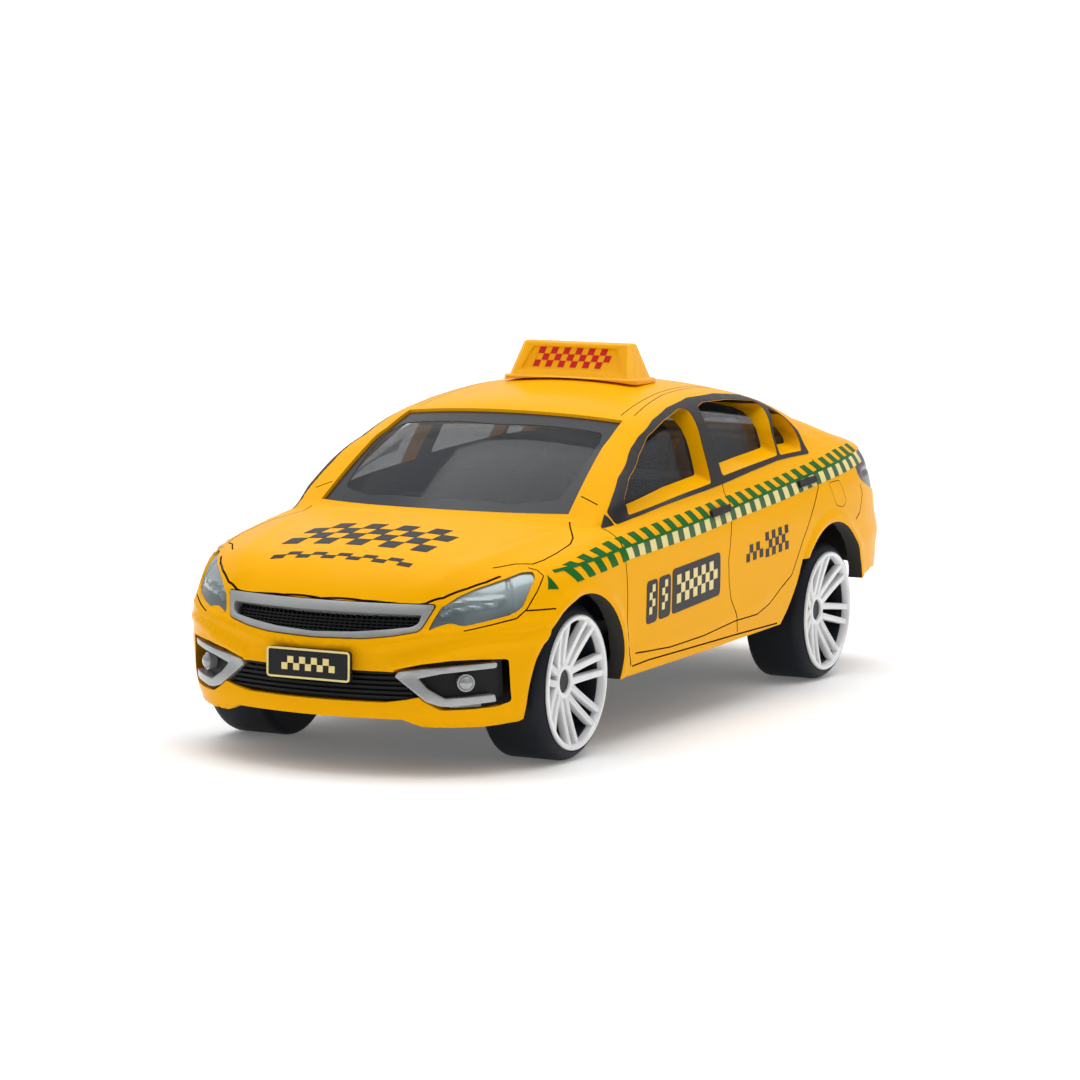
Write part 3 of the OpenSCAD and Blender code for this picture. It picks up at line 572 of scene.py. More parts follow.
def settle_pair(left, node, look, bevel=0.0):
    """Settles a left-hand piece and its mirror image, which replace node_left and node_right."""
    right = opposite(left, left.name.replace("_left", "_right"))
    for obj, side in ((left, "left"), (right, "right")):
        settle(obj, (look,), bevel=bevel, replaces=(f"{node}_{side}",))


# ---------------------------------------------------------------- outlines and patches

def resampled(points, spacing, closed=True):
    """Points no further apart than spacing along the line."""
    ends = points[1:] + points[:1] if closed else points[1:]
    out = []
    for (a0, b0), (a1, b1) in zip(points, ends):
        n = max(1, math.ceil(math.hypot(a1 - a0, b1 - b0) / spacing))
        out += [(a0 + (a1 - a0) * i / n, b0 + (b1 - b0) * i / n) for i in range(n)]
    return out if closed else out + [points[-1]]


def rounded(points, radius, steps=5):
    """Closed outline with each corner turned into an arc of about radius."""
    out, n = [], len(points)
    for i in range(n):
        before, here, after = (np.array(points[(i + k) % n], float) for k in (-1, 0, 1))
        to_before, to_after = before - here, after - here
        reach_in = min(radius, 0.45 * np.linalg.norm(to_before), 0.45 * np.linalg.norm(to_after))
        a = here + to_before / np.linalg.norm(to_before) * reach_in
        b = here + to_after / np.linalg.norm(to_after) * reach_in
        for k in range(steps + 1):
            t = k / steps
            out.append(tuple((1 - t) ** 2 * a + 2 * t * (1 - t) * here + t**2 * b))
    return out


def grown(points, by):
    """Closed outline pushed outwards by a distance."""
    p = np.array(points, float)
    area = np.sum(p[:, 0] * np.roll(p[:, 1], -1) - np.roll(p[:, 0], -1) * p[:, 1])
    way = 1 if area > 0 else -1
    ahead, behind = np.roll(p, -1, 0) - p, p - np.roll(p, 1, 0)
    n1 = np.stack([ahead[:, 1], -ahead[:, 0]], 1) / np.linalg.norm(ahead, axis=1)[:, None]
    n0 = np.stack([behind[:, 1], -behind[:, 0]], 1) / np.linalg.norm(behind, axis=1)[:, None]
    middle = n0 + n1
    middle /= np.maximum(np.sum(middle * n1, axis=1), 0.4)[:, None]
    return [tuple(q) for q in p + way * by * middle]


def in_loops(loops, points):
    """Whether each point lies inside an odd number of loops."""
    inside = np.zeros(len(points), bool)
    for loop in loops:
        a = np.array(loop)
        b = np.roll(a, -1, 0)
        for (x0, y0), (x1, y1) in zip(a, b):
            crosses = (y0 > points[:, 1]) != (y1 > points[:, 1])
            if y0 != y1:
                inside ^= crosses & (points[:, 0] < (x1 - x0) * (points[:, 1] - y0) / (y1 - y0) + x0)
    return inside


def net(loops, spacing):
    """Triangles that fill the loops, with points every spacing: (points, triangles)."""
    points, edges = [], []
    for loop in loops:
        ring = resampled(loop, spacing)
        base = len(points)
        points += ring
        edges += [(base + i, base + (i + 1) % len(ring)) for i in range(len(ring))]
    border = np.array(points)
    low, high = border.min(0), border.max(0)
    us, vs = (np.arange(low[i] + spacing / 2, high[i], spacing) for i in (0, 1))
    if len(us) and len(vs):
        grid = np.array([(u, v) for u in us for v in vs])
        grid = grid[in_loops(loops, grid)]
        for chunk in border:
            grid = grid[np.hypot(*(grid - chunk).T) > spacing * 0.45]
        points += [tuple(g) for g in grid]
    verts, _, tris, *_ = geometry.delaunay_2d_cdt(points, edges, [], 0, 1e-6)
    verts = np.array([tuple(v) for v in verts])
    tris = np.array([t for t in tris if len(t) == 3])
    return verts, tris[in_loops(loops, verts[tris].mean(1))]


SIDE, FRONT, ABOVE, CORNER, REAR_CORNER = range(5)


def cast(shape, view, uv, depth):
    """Points on the shape under the plan points uv, and the outward normals there."""
    u, v = uv[:, 0], uv[:, 1]
    zero = 0 * u
    half = math.sqrt(0.5)
    o, d = {
        SIDE: (np.stack([zero, u, v], 1), (1, 0, 0)),
        FRONT: (np.stack([u, zero, v], 1), (0, -1, 0)),
        ABOVE: (np.stack([u, v, zero + 10], 1), (0, 0, 1)),
        CORNER: (np.stack([u * half, u * half, v], 1), (half, -half, 0)),
        REAR_CORNER: (np.stack([-u * half, 46 + u * half, v], 1), (half, half, 0)),
    }[view]
    d = np.broadcast_to(np.array(d, float), o.shape)
    p = o + d * reach(shape, o, d, depth)[:, None]
    return p, outward(shape, p)


def slab(name, tris, face, back):
    """Closed slab from two copies of a net of triangles, its face and its back."""
    count = len(face)
    faces = [tuple(t) for t in tris] + [tuple(t[::-1] + count) for t in tris]
    used = dict.fromkeys((t[i], t[(i + 1) % 3]) for t in tris for i in range(3))
    faces += [(b, a, a + count, b + count) for a, b in used if (b, a) not in used]
    return outward_faces(new_object(name, np.concatenate([face, back]), faces))


def patch(name, loops, view, lift, base, spacing=0.5, shape=None, bumps=None):
    """Closed slab over the loops: its face stands lift above the surface, its back at base."""
    uv, tris = net(loops, spacing)
    p, n = cast(shape or car, view, uv, 0)
    rise = lift if bumps is None else lift + bumps(uv[:, 0], uv[:, 1])
    return slab(name, tris, p + n * np.broadcast_to(rise, len(p))[:, None], p + n * base)


def flat_patch(name, loops, place, low, high, spacing=0.5):
    """Closed slab of a flat outline: place turns (u, v, w) into a point."""
    uv, tris = net(loops, spacing)
    face, back = (np.array([place(u, v, w) for u, v in uv]) for w in (high, low))
    return slab(name, tris, face, back)


def groove(points, view, width=0.18, depth=0.18, closed=False):
    """Cutter for a panel line: a narrow wedge along the points, following the surface. Its faces carry the
    darker groove colour, painted shade in the panel line.
    """
    line = np.array(resampled(points, 0.3, closed))
    p, n = cast(car, view, line, 0)
    if closed:
        t = np.roll(p, -1, 0) - np.roll(p, 1, 0)
    else:
        t = np.gradient(p, axis=0)
    t /= np.linalg.norm(t, axis=1, keepdims=True)
    b = np.cross(n, t)
    section = [(-0.9, 0.2), (0.9, 0.2), (0.35, -depth), (-0.35, -depth)]
    verts = np.stack([p + b * (a * width / 2) + n * h for a, h in section], 1).reshape(-1, 3)
    return swept("groove", verts, len(section), closed, GROOVE_SHADE_FINISH)


def lathe(name, profile, segments=96):
    """Ring swept from a closed profile of (radius, along) about the X axis."""
    turns = np.arange(segments) * 2 * np.pi / segments
    verts = [(a, r * math.cos(t), r * math.sin(t)) for t in turns for r, a in profile]
    return swept(name, verts, len(profile), closed=True)


def rectangle(u0, v0, u1, v1):
    """Closed outline of an upright rectangle."""
    return [(u0, v0), (u1, v0), (u1, v1), (u0, v1)]


# ---------------------------------------------------------------- outlines on the body

FRONT_WINDOW = [(8.6, 15.6), (16.8, 16.35), (22.1, 16.72), (22.7, 19.4), (23.5, 21.75), (22.6, 21.85),
                (19, 21.2), (15.5, 20.35), (13, 19.25), (10.3, 17.95), (8.4, 16.5)]
REAR_WINDOW = [(24.3, 17.05), (29.5, 17.4), (35.2, 17.72), (35.6, 19.5), (36.7, 21.2), (36, 21.6),
               (31.2, 22), (26.6, 22.05), (25.2, 21.8), (24.6, 20.6)]
QUARTER_WINDOW = [(35.65, 17.7), (40.1, 17.7), (40.55, 18.5), (40.25, 19.55), (39.5, 20.4), (37.6, 21),
                  (35.9, 19.4)]
SILL_RISE = 0.5
SILL_BAND = 1.2
WINDOWS = [rounded(w, 0.3) for w in (FRONT_WINDOW, REAR_WINDOW, QUARTER_WINDOW)]
BAND = rounded([(6.9, 15.08), (6.65, 15.85), (7.66, 16.61), (9.63, 17.99), (12.19, 19.35), (14.8, 20.42),
                (17.94, 21.32), (21.2, 21.95), (25.39, 22.42), (30.07, 22.45), (34.67, 22.1),
                (37.35, 21.5), (38.86, 20.85), (40.07, 20.1), (41.1, 19), (41.1, 17.4), (37.68, 17.38),
                (34.83, 17.34), (29.16, 16.94), (23.99, 16.5), (18.23, 16.1), (13.78, 15.78),
                (8.88, 15.3)], 0.3)
BAND_FOOT = [(5.46, 14.92), (6.5, 15.78), (6.72, 15.08)]


def bowed(front_s, front_bow, front_half, rear_s, rear_bow, rear_half, grow):
    """Screen outline seen from above, with bowed front and rear edges."""
    steps = np.linspace(-1, 1, 25)
    front = [(t * (front_half + grow), front_s - grow + front_bow * t * t) for t in steps]
    rear = [(-t * (rear_half + grow), rear_s + grow + rear_bow * t * t) for t in steps]
    return front + rear


def screen_outline(grow):
    return bowed(3.0, 2.3, 9.6, 15, 1, 8.5, grow)


def rear_screen_outline(grow):
    return bowed(42.2, -1, 8.2, 51.6, -1.9, 9.6, grow)


HEADLAMP = rounded([(-2.3, 9.5), (-1.6, 9.8), (-0.8, 10.03), (-0.1, 9.82), (0.8, 9.98), (2.1, 10.24),
                    (3.3, 10.5), (4.05, 10.9), (4.65, 11.85), (5.3, 12.7), (5.2, 13.02), (4.4, 13.02),
                    (2.8, 12.6), (1.1, 12.15), (-0.1, 11.7), (-1.3, 11), (-1.9, 10.15)], 0.25)
HEADLAMP_RIM = [(4.98, 13.25), (5.56, 13.1), (5.9, 12.75), (5.2, 11.84), (4.32, 10.8), (3.51, 10.25),
                (2.08, 9.97), (-0.12, 9.57)]
TAIL_LAMP = rounded([(-7.5, 15.5), (-7, 16.35), (-4.3, 16.95), (2.8, 16.9), (2.8, 13.4), (-2.4, 13.5),
                     (-5.4, 14.1), (-7, 14.8)], 0.5)


def both_halves(points):
    """Closed outline from its left half, given from the top edge's middle to the bottom edge's."""
    return points + [(-a, b) for a, b in reversed(points) if a > 0]


GRILLE = rounded(both_halves([(0, 11.2), (7.8, 11.2), (7.5, 10.4), (7.1, 9.45), (5.4, 9.1), (3.6, 8.88),
                              (0, 8.78)]), 0.3)
GRILLE_HOLE = rounded(both_halves([(0, 10.5), (7, 10.5), (6.9, 9.95), (6.5, 9.72), (4.8, 9.5),
                                   (2.8, 9.3), (0, 9.18)]), 0.2)
LOWER_GRILLE = rounded(both_halves([(0, 6.85), (5.8, 6.85), (7.4, 5.3), (6.3, 5.05), (5, 4.85),
                                    (0, 4.85)]), 0.15)
FOG = rounded([(5.5, 6.95), (7.3, 7.4), (9.05, 7.66), (10.6, 7.73), (11.85, 7.68), (11.92, 4.9),
               (11.3, 4.6), (10.1, 4.48), (8.5, 4.43), (7.4, 5.05)], 0.2)
FOG_BEZEL = rounded([(5.65, 6.55), (5.9, 6.82), (7.3, 7.05), (9.6, 7.32), (11.35, 7.48), (11.33, 7.13),
                     (10.1, 7), (8.5, 6.8), (7.1, 6.47), (7.7, 5.83), (8.8, 5.18), (10.1, 5.28),
                     (11.25, 5.4), (11.3, 4.93), (9.1, 4.66), (8.5, 4.7), (7.7, 4.98), (7.05, 5.5)], 0.1)

SIDE_GROOVES = [
    [(5.55, 14.9), (5.58, 12.91), (5.76, 10.69), (5.8, 8.5), (6.19, 6.97), (7.2, 5.5)],
    [(23.9, 16.5), (23.75, 15.05), (22.9, 12.9), (22.33, 11.27), (22.45, 9.7), (22.9, 8.42),
     (24.13, 6.94), (24.8, 5.8)],
    [(7.5, 6.35), (13.1, 6.12), (18.5, 6.26), (24, 6.72), (27.9, 6.75), (30.1, 7.31), (32, 8.24),
     (33.9, 9), (35.85, 11.28), (37.86, 13.15), (40, 15), (41, 17)],
    [(48.93, 14.5), (49.27, 13.73), (48.29, 12.39), (47.26, 11.95)],
    [(-6.4, 10.7), (-4.2, 10.67)],
]
SILL_GROOVE = [(7.4, 5.46), (9.9, 5.6), (24.5, 5.63), (32.2, 5.6)]
ROOF_GROOVES = [
    [(8.0, 16.7), (7.6, 20.6), (7.3, 24.3), (7.2, 28.5), (7.1, 34)],
    [(8.75, 17.3), (8.2, 20.9), (7.8, 24.0), (7.7, 27.4), (7.6, 33)],
]
BONNET_GROOVE = [(9.99, 4.68), (11.45, 2.27), (11.85, 1.07), (11.95, -1.12), (11.85, -2.81),
                 (11.58, -3.87), (10.72, -4.76), (10.17, -5.69), (9.84, -6.17)]
BONNET_EDGE = [(10.57, -6.47), (10.03, -7.43), (9.19, -8.48), (8.06, -9.62), (7.05, -10.21),
               (6.1, -10.56), (4.5, -10.9), (3, -11.14), (0, -11.37)]
PILLAR_GROOVE = [(9.7, 7.0), (11.0, 6.9)]
BOOT_GROOVE = [(8.6, 52.3), (9.6, 53.6), (9.8, 55.2)]
FUEL_FLAP = rounded([(42, 15.17), (44.26, 15.23), (45.26, 13.5), (44.5, 13.17), (43.04, 13.35)], 0.4)


# The casting's finishes, in the order of its material slots. The groove and casting slots are painted shade:
# the first in the panel lines, the second on the shell's inside and the arch walls.
BODY_LOOKS = ("paint", "groove", "casting", "ink_black")
PAINT_FINISH, GROOVE_SHADE_FINISH, INSIDE_SHADE_FINISH, BLACK_FINISH = range(4)
# How far back from the axle the front openings are cut, and a distance that is past the body.
OPENING_DEPTH = -8.8
FAR = 20


def window_cutter(outline):
    """Cutter for a side window whose sill and rear edge slope inwards, following the cabin's side."""
    outer = np.array(outline, float)
    u, v = outer.T
    low, high = v.min() + SILL_BAND * (u - u.min()) / np.ptp(u), v.max()
    share = np.clip(1 - (v - low) / (0.3 * (high - low)), 0, 1)
    inner = np.stack([u, v + SILL_RISE * share], 1)
    on_skin, _ = cast(cabin, SIDE, outer, 0)
    on_glass, _ = cast(cabin, SIDE, inner, WALL)
    far = np.column_stack([np.full(len(u), FAR), outer])
    near = np.column_stack([np.full(len(u), 6.0), inner])
    cutter = swept("window", np.concatenate([far, on_skin, on_glass, near]), len(u))
    edge = np.roll(outer, -1, 0) - outer
    turn = 1 if np.sum(u * np.roll(v, -1) - np.roll(u, -1) * v) > 0 else -1
    ahead, below = turn * edge[:, 1], turn * edge[:, 0]
    length = np.hypot(*edge.T)
    painted = (ahead > 0.5 * length) | (below > 0.3 * length)
    kinds = [PAINT_FINISH if p else BLACK_FINISH for p in painted] * 3 + [PAINT_FINISH] * 2
    cutter.data.polygons.foreach_set("material_index", kinds)
    return cutter


def make_body():
    """The painted casting with every opening, arch and panel line cut in it."""
    body = loft("body_shell_painted", car, 0, -4, 50, 11, 36, 190, 260, 3.2)
    # The inner skin takes the painted shade.
    cut(body, loft("inner", car, WALL, -4, 50, 11, 14, 60, 90, 1, INSIDE_SHADE_FINISH))
    cut(body, prism("floor_cut", [(70, 0), (-20, 0)] + FLOOR_LINE, from_side, -FAR, FAR))
    step = [(-8.25, 2.9), (8.25, 2.9), (6.1, 3.76), (-6.1, 3.76)]
    cut(body, prism("step_cut", step, from_front, -FAR, -8))
    cut(body, prism("arch_front", REAR_ARCH_FRONT, from_side, -FAR, FAR))
    turns = np.linspace(0, 2 * np.pi, 97)[:-1]
    for station, height, radius in ARCHES:
        ring = [(station + radius * math.cos(t), height + radius * math.sin(t)) for t in turns]
        # The arch walls take the same painted shade.
        cut(body, prism("arch", ring, from_side, -FAR, FAR, INSIDE_SHADE_FINISH))
    for outline in WINDOWS:
        cut(body, mirrored(window_cutter(outline)))
    cut(body, prism("screen", screen_outline(0), from_above, 13.9, 24))
    cut(body, prism("rear_screen", rear_screen_outline(0), from_above, 16.4, 24))
    cut(body, mirrored(prism("headlamp", HEADLAMP, diagonal(False), 4, 30)))
    cut(body, mirrored(prism("tail_lamp", TAIL_LAMP, diagonal(True), 4, 30)))
    cut(body, prism("grille", GRILLE, from_front, -FAR, OPENING_DEPTH))
    cut(body, prism("lower_grille", LOWER_GRILLE, from_front, -FAR, OPENING_DEPTH))
    cut(body, mirrored(prism("fog", FOG, from_front, -FAR, -6)))
    grooves = [(line, SIDE) for line in SIDE_GROOVES]
    grooves += [(line, ABOVE, 0.12, 0.1) for line in ROOF_GROOVES]
    grooves += [(line, ABOVE) for line in (BONNET_GROOVE, BOOT_GROOVE, PILLAR_GROOVE)]
    grooves += [(BONNET_EDGE, ABOVE, 0.26, 0.24), (SILL_GROOVE, SIDE, 0.2, 0.2),
                (HEADLAMP_RIM, CORNER, 0.16, 0.16)]
    for line, view, *size in grooves:
        cut(body, mirrored(groove(line, view, *size)))
    cut(body, groove(FUEL_FLAP, SIDE, 0.1, 0.1, closed=True))
    finish_body(body)


def finish_body(body):
    """Settles the casting, and gives its outer skin the exact normals of the shape."""
    co = read(body.data.vertices, "co", 3)
    field = car(co)
    normals = outward(car, co)
    settle(body, BODY_LOOKS, degrees=30, replaces=("body_shell",))
    mesh = body.data
    corner = read(mesh.corner_normals, "vector", 3)
    vertex = read(mesh.loops, "vertex_index", kind=int)
    face_of = np.repeat(np.arange(len(mesh.polygons)), read(mesh.polygons, "loop_total", kind=int))
    on_skin = np.abs(field[vertex]) < 0.01
    agrees = np.sum(read(mesh.polygons, "normal", 3)[face_of] * normals[vertex], 1) > 0.75
    whole = np.ones(len(mesh.polygons), bool)
    np.logical_and.at(whole, face_of, on_skin & agrees)
    good = whole[face_of]
    corner[good] = normals[vertex][good]
    mesh.normals_split_custom_set([tuple(n) for n in corner])


# ---------------------------------------------------------------- glazing

def make_glazing():
    """Clear screens and side panes in one piece, and the dark border printed on the screens."""
    front, rear = screen_outline(-FIT_GAP), rear_screen_outline(-FIT_GAP)
    panes = [patch("screen", [front], ABOVE, -0.22, -0.9, 0.6, cabin),
             patch("rear_screen", [rear], ABOVE, -0.22, -0.9, 0.6, cabin)]
    inner = [(6.5, 15.3), (9.2, 17.9), (13, 20.3), (18.5, 21.9), (24, 22.4), (31, 22.3), (36.6, 21.5),
             (41.2, 19.7), (41.2, 17.2), (24, 16.2)]
    panes.append(mirrored(patch("side", [rounded(inner, 0.4)], SIDE, -1.14, -1.8, 0.7, cabin)))
    settle(joined(panes, "glazing_clear"), ("glass",), replaces=("glazing",))
    front_clear = rounded([(-8.3, 6.2), (-5.6, 4.75), (0, 4.15), (5.6, 4.75), (8.3, 6.2), (8.6, 9.4),
                           (8.4, 12.5), (7.9, 14.0), (0, 13.1), (-7.9, 14.0), (-8.4, 12.5),
                           (-8.6, 9.4)], 0.5)
    borders = [patch("border", loops, ABOVE, -0.2, -0.26, 0.6, cabin)
               for loops in ([front, front_clear], [rear, grown(rear, -0.8)])]
    settle(joined(borders, "glazing_border"), ("frit",))


# ---------------------------------------------------------------- lamps, grilles and plates

def lamp_lines(u, v):
    """Reflector ribs and the division of the headlamp, seen through its lens."""
    rib = 0.10 * swell(along([(-1.05, 11.16), (0.35, 11.4), (2.9, 11.53)], u, v), 0.12)
    rib = rib + 0.10 * swell(along([(-1.36, 10.45), (-0.67, 10.81), (2.5, 11.25)], u, v), 0.1)
    return rib - 0.14 * swell(along([(3.35, 10.4), (3.35, 12.7)], u, v), 0.14)


def tail_line(u, v):
    """Shallow line along the tail lamp."""
    return -0.1 * swell(along([(-6, 15.4), (3, 15.3)], u, v), 0.12)


def make_lamps():
    """Headlamp and tail lamp lenses."""
    lens = patch("headlamp_left", [grown(HEADLAMP, 0.15)], CORNER, -0.14, -0.9, 0.14, bumps=lamp_lines)
    settle_pair(lens, "headlamp_lens", "lamp", 0.07)
    tail = patch("tail_lamp_left_lens", [grown(TAIL_LAMP, 0.1)], REAR_CORNER, -0.1, -0.9, 0.25,
                 bumps=tail_line)
    settle_pair(tail, "tail_lamp", "smoke", 0.08)


def make_grilles():
    """Grille surround and mesh, slatted lower grille with the fog pockets' backs, and bezels."""
    surround = patch("grille_surround_bright", [grown(GRILLE, -FIT_GAP), GRILLE_HOLE], FRONT, 0.06,
                     -0.7, 0.3)
    settle(surround, ("silver",), bevel=0.12, replaces=("grille_surround",))
    half = 0.045
    mesh = [patch("grille_back", [grown(GRILLE, -0.3)], FRONT, -0.8, -1.4)]
    mesh += [patch("row", [rectangle(-6.9, z - half, 6.9, z + half)], FRONT, -0.45, -0.85)
             for z in np.arange(9.4, 10.4, 0.2)]
    mesh += [patch("post", [rectangle(x - half, 9.1, x + half, 10.5)], FRONT, -0.5, -0.85)
             for x in np.arange(-6.75, 6.8, 0.375)]
    settle(joined(mesh, "grille_mesh_bars"), ("black",), replaces=("grille_mesh",))
    lower = [patch("back", [grown(LOWER_GRILLE, -FIT_GAP)], FRONT, -0.75, -1.4),
             mirrored(patch("fog_back", [grown(FOG, -FIT_GAP)], FRONT, -0.75, -1.4, 0.4))]
    for z in np.arange(5.2, 6.8, 0.31):
        reach_out = 6.5 if z < 5.2 else 12.3 - z
        lower.append(patch("slat", [rectangle(-reach_out, z - 0.08, reach_out, z + 0.08)], FRONT, -0.3, -0.8))
    settle(joined(lower, "bumper_grille_slats"), ("black",), replaces=("bumper_grille",))
    bezel = patch("fog_bezel_left_bright", [FOG_BEZEL], FRONT, -0.05, -0.78, 0.2)
    settle_pair(bezel, "fog_bezel", "silver", 0.12)


def make_fog_lamps():
    """Round lamp in each fog pocket: a domed lens in a shallow cup."""
    profile = [(0.001, 0.42), (0.2, 0.4), (0.36, 0.33), (0.46, 0.22), (0.49, 0.12), (0.57, 0.12),
               (0.57, -0.45), (0.001, -0.45)]
    lamp = lathe("fog_lamp_left_lens", profile, 48)
    turn = Matrix.Rotation(math.radians(-90 + 38), 4, "Z")
    lamp.data.transform(Matrix.Translation((9.66, -9.48, 6.17)) @ turn)
    settle_pair(lamp, "fog_lamp", "lamp_grey")


def checks(left, low, columns, rows, across, up, slope=0.0, lean=0.0):
    """Every other cell of a grid of columns and rows, as loops.

    slope is the rise per millimetre along a row, and lean the shift per millimetre up a column.
    """
    def corner(i, j):
        return (left + i * across + j * up * lean, low + j * up + i * across * slope)

    return [[corner(i, j), corner(i + 1, j), corner(i + 1, j + 1), corner(i, j + 1)]
            for i in range(columns) for j in range(rows) if (i + j) % 2 == 0]


def make_plates():
    """Border and a plain checker on the front plate; a plain border on the rear one."""
    for name, way in (("front", -1), ("rear", 1)):
        low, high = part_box(f"{name}_plate")
        face = (low.y if way < 0 else high.y) / MM - FRONT_Y
        z0, z1, half = low.z / MM, high.z / MM, high.x / MM
        outer = rounded(rectangle(-half, z0, half, z1), 0.3)

        def place(u, v, w):
            return (u, face + way * w, v)

        border = flat_patch(f"{name}_plate_border", [grown(outer, -0.01), grown(outer, -0.14)], place,
                            -0.02, 0.05)
        settle(border, ("ink_cream",))
        if name == "front":
            cells = checks(-1.98, (z0 + z1) / 2 - 0.44, 9, 2, 0.44, 0.44)
            settle(flat_patch("front_plate_checks", cells, place, -0.02, 0.03, 0.4),
                   ("ink_cream",))


# ---------------------------------------------------------------- printed marks

BAND_TOP = [(-5, 12.95), (-3.05, 13.1), (0.4, 13.71), (4.1, 14.25), (7.54, 14.55), (11.27, 14.85),
            (16.95, 15.22), (24.6, 15.7), (32, 16.15), (39.1, 16.72), (46, 17.36), (51, 17.55)]
BAND_MIDDLE = [(-5, 12.8), (-1.3, 13.12), (2.18, 13.39), (5.42, 13.68), (9.36, 13.92), (17.07, 14.38),
               (24.4, 14.87), (31.9, 15.46), (37.3, 15.86), (43.8, 16.41), (51, 16.9)]
BAND_FLOOR = [(-5, 11.83), (-0.29, 12.22), (2.88, 12.5), (6.26, 12.89), (12, 13.19), (17.5, 13.51),
              (24.78, 14.08), (32.25, 14.57), (41.1, 15.29), (51, 16.1)]


def hatch_band():
    """The side band's loops: upper bars, front and rear lower bars, pale gaps and the middle line."""
    pitch, width, lean = 1.83, 0.92, 0.8

    def at(line, s):
        return (s, float(np.interp(s, *np.array(line).T)))

    def bar(top, foot, s_top, s_foot):
        half = width / 2
        return [at(foot, s_foot - half), at(foot, s_foot + half),
                at(top, s_top + half), at(top, s_top - half)]

    upper, front_lower, rear_lower, pale = [], [], [], []
    for i in range(30):
        s = -3.05 + pitch * i
        drift = float(np.interp(s, (-2, 8), (1.1, 0.15)))
        upper.append(bar(BAND_TOP, BAND_MIDDLE, s - lean / 2, s + lean / 2))
        (front_lower if i < 6 else rear_lower).append(
            bar(BAND_MIDDLE, BAND_FLOOR, s - 0.75, s - 0.75 + drift))
        if i > 4:
            pale.append(bar(BAND_MIDDLE, BAND_FLOOR, s + 0.16, s + 0.16 + drift))
    tip = [(-4.4, 11.93), (-3.5, 11.86), (-3.9, 12.75)]
    stations = np.arange(-3.2, 50.3, 1.5)
    line = [(s, z + 0.08) for s, z in (at(BAND_MIDDLE, s) for s in stations)]
    line += [(s, z - 0.16) for s, z in reversed(line)]
    return upper[1:], [tip] + front_lower[1:], rear_lower, pale, line


def mark(name, loops, ink, view=SIDE, lift=0.03, spacing=0.3):
    """Print over the loops: on both sides of the car, or on top of it."""
    obj = patch(name, loops, view, lift, -0.06, spacing)
    if view == SIDE:
        mirrored(obj)
    settle(obj, (ink,))


def make_marks():
    """The side band, window band, door blocks, checks and door handles."""
    upper, front_lower, rear_lower, pale, line = hatch_band()
    mark("band_upper", upper, "ink_green", spacing=0.25)
    mark("band_lower_front", front_lower, "ink_green", spacing=0.25)
    mark("band_lower_rear", rear_lower, "ink_moss", spacing=0.25)
    mark("band_gaps", pale, "ink_cream", spacing=0.25)
    mark("band_line", [line], "ink_green", lift=0.04, spacing=0.25)
    panes = [grown(w, 0.03) for w in WINDOWS]
    mark("window_band", [BAND, BAND_FOOT] + panes, "ink_black", lift=0.035, spacing=0.25)
    blocks = [rounded([(s0, 8.15 + 0.066 * (s0 - 8.7)), (s1, 8.15 + 0.066 * (s1 - 8.7)),
                       (s1, top + 0.058 * (s1 - 8.7)), (s0, top + 0.058 * (s0 - 8.7))], 0.4)
              for s0, s1, top in ((8.7, 10.4, 11.1), (10.65, 12.5, 11.1), (12.8, 20.85, 11.3))]
    mark("door_blocks", blocks, "ink_black")
    cells = checks(9.1, 8.8, 2, 4, 0.45, 0.5, 0.066) + checks(11.1, 8.93, 2, 4, 0.45, 0.5, 0.066)
    mark("door_checks", cells + checks(13.5, 9.1, 10, 3, 0.68, 0.66, 0.066), "ink_cream", lift=0.042)
    cells = checks(25.5, 10.75, 5, 2, 0.6, 0.6, 0.06) + checks(29, 10.8, 7, 3, 0.6, 0.6, 0.06)
    mark("rear_door_checks", cells, "ink_black")
    cells = checks(-6.2, -5.9, 9, 4, 1.22, 1.22, lean=0.12)
    mark("bonnet_checks", cells + checks(-5.6, -8.4, 11, 2, 0.95, 0.45, lean=0.12), "ink_black", ABOVE)
    handles = [rounded([(19.9, 14.45), (23.3, 14.65), (23.3, 15.1), (19.9, 14.95)], 0.2),
               rounded([(36.3, 15.2), (39.7, 15.4), (39.7, 15.85), (36.3, 15.7)], 0.2)]
    settle(mirrored(patch("door_handles", handles, SIDE, 0.22, -0.1, 0.3)), ("ink_black",),
           bevel=0.09)


# ---------------------------------------------------------------- roof sign

SIGN_S = 26.4
SIGN_H = 2.55
SIGN_LEAN = 0.44


def hull_of(name, rings):
    """Closed solid from stacked rectangles (half width, half depth, z), each with cut corners."""
    verts = []
    for half, deep, z, cut_off in rings:
        verts += [(-half + cut_off, -deep, z), (half - cut_off, -deep, z), (half, -deep + cut_off, z),
                  (half, deep - cut_off, z), (half - cut_off, deep, z), (-half + cut_off, deep, z),
                  (-half, deep - cut_off, z), (-half, -deep + cut_off, z)]
    obj = swept(name, verts, 8)
    obj.data.transform(Matrix.Translation((0, SIGN_S, 0)))
    return obj


def sign_face(way, foot, sink):
    """Turns (u, z, w) into a point on the sign's sloping front (way -1) or back, sunk by sink."""
    return lambda u, v, w: (u, SIGN_S + way * (1.72 - (v - foot - 0.1) * SIGN_LEAN - sink + w), v)


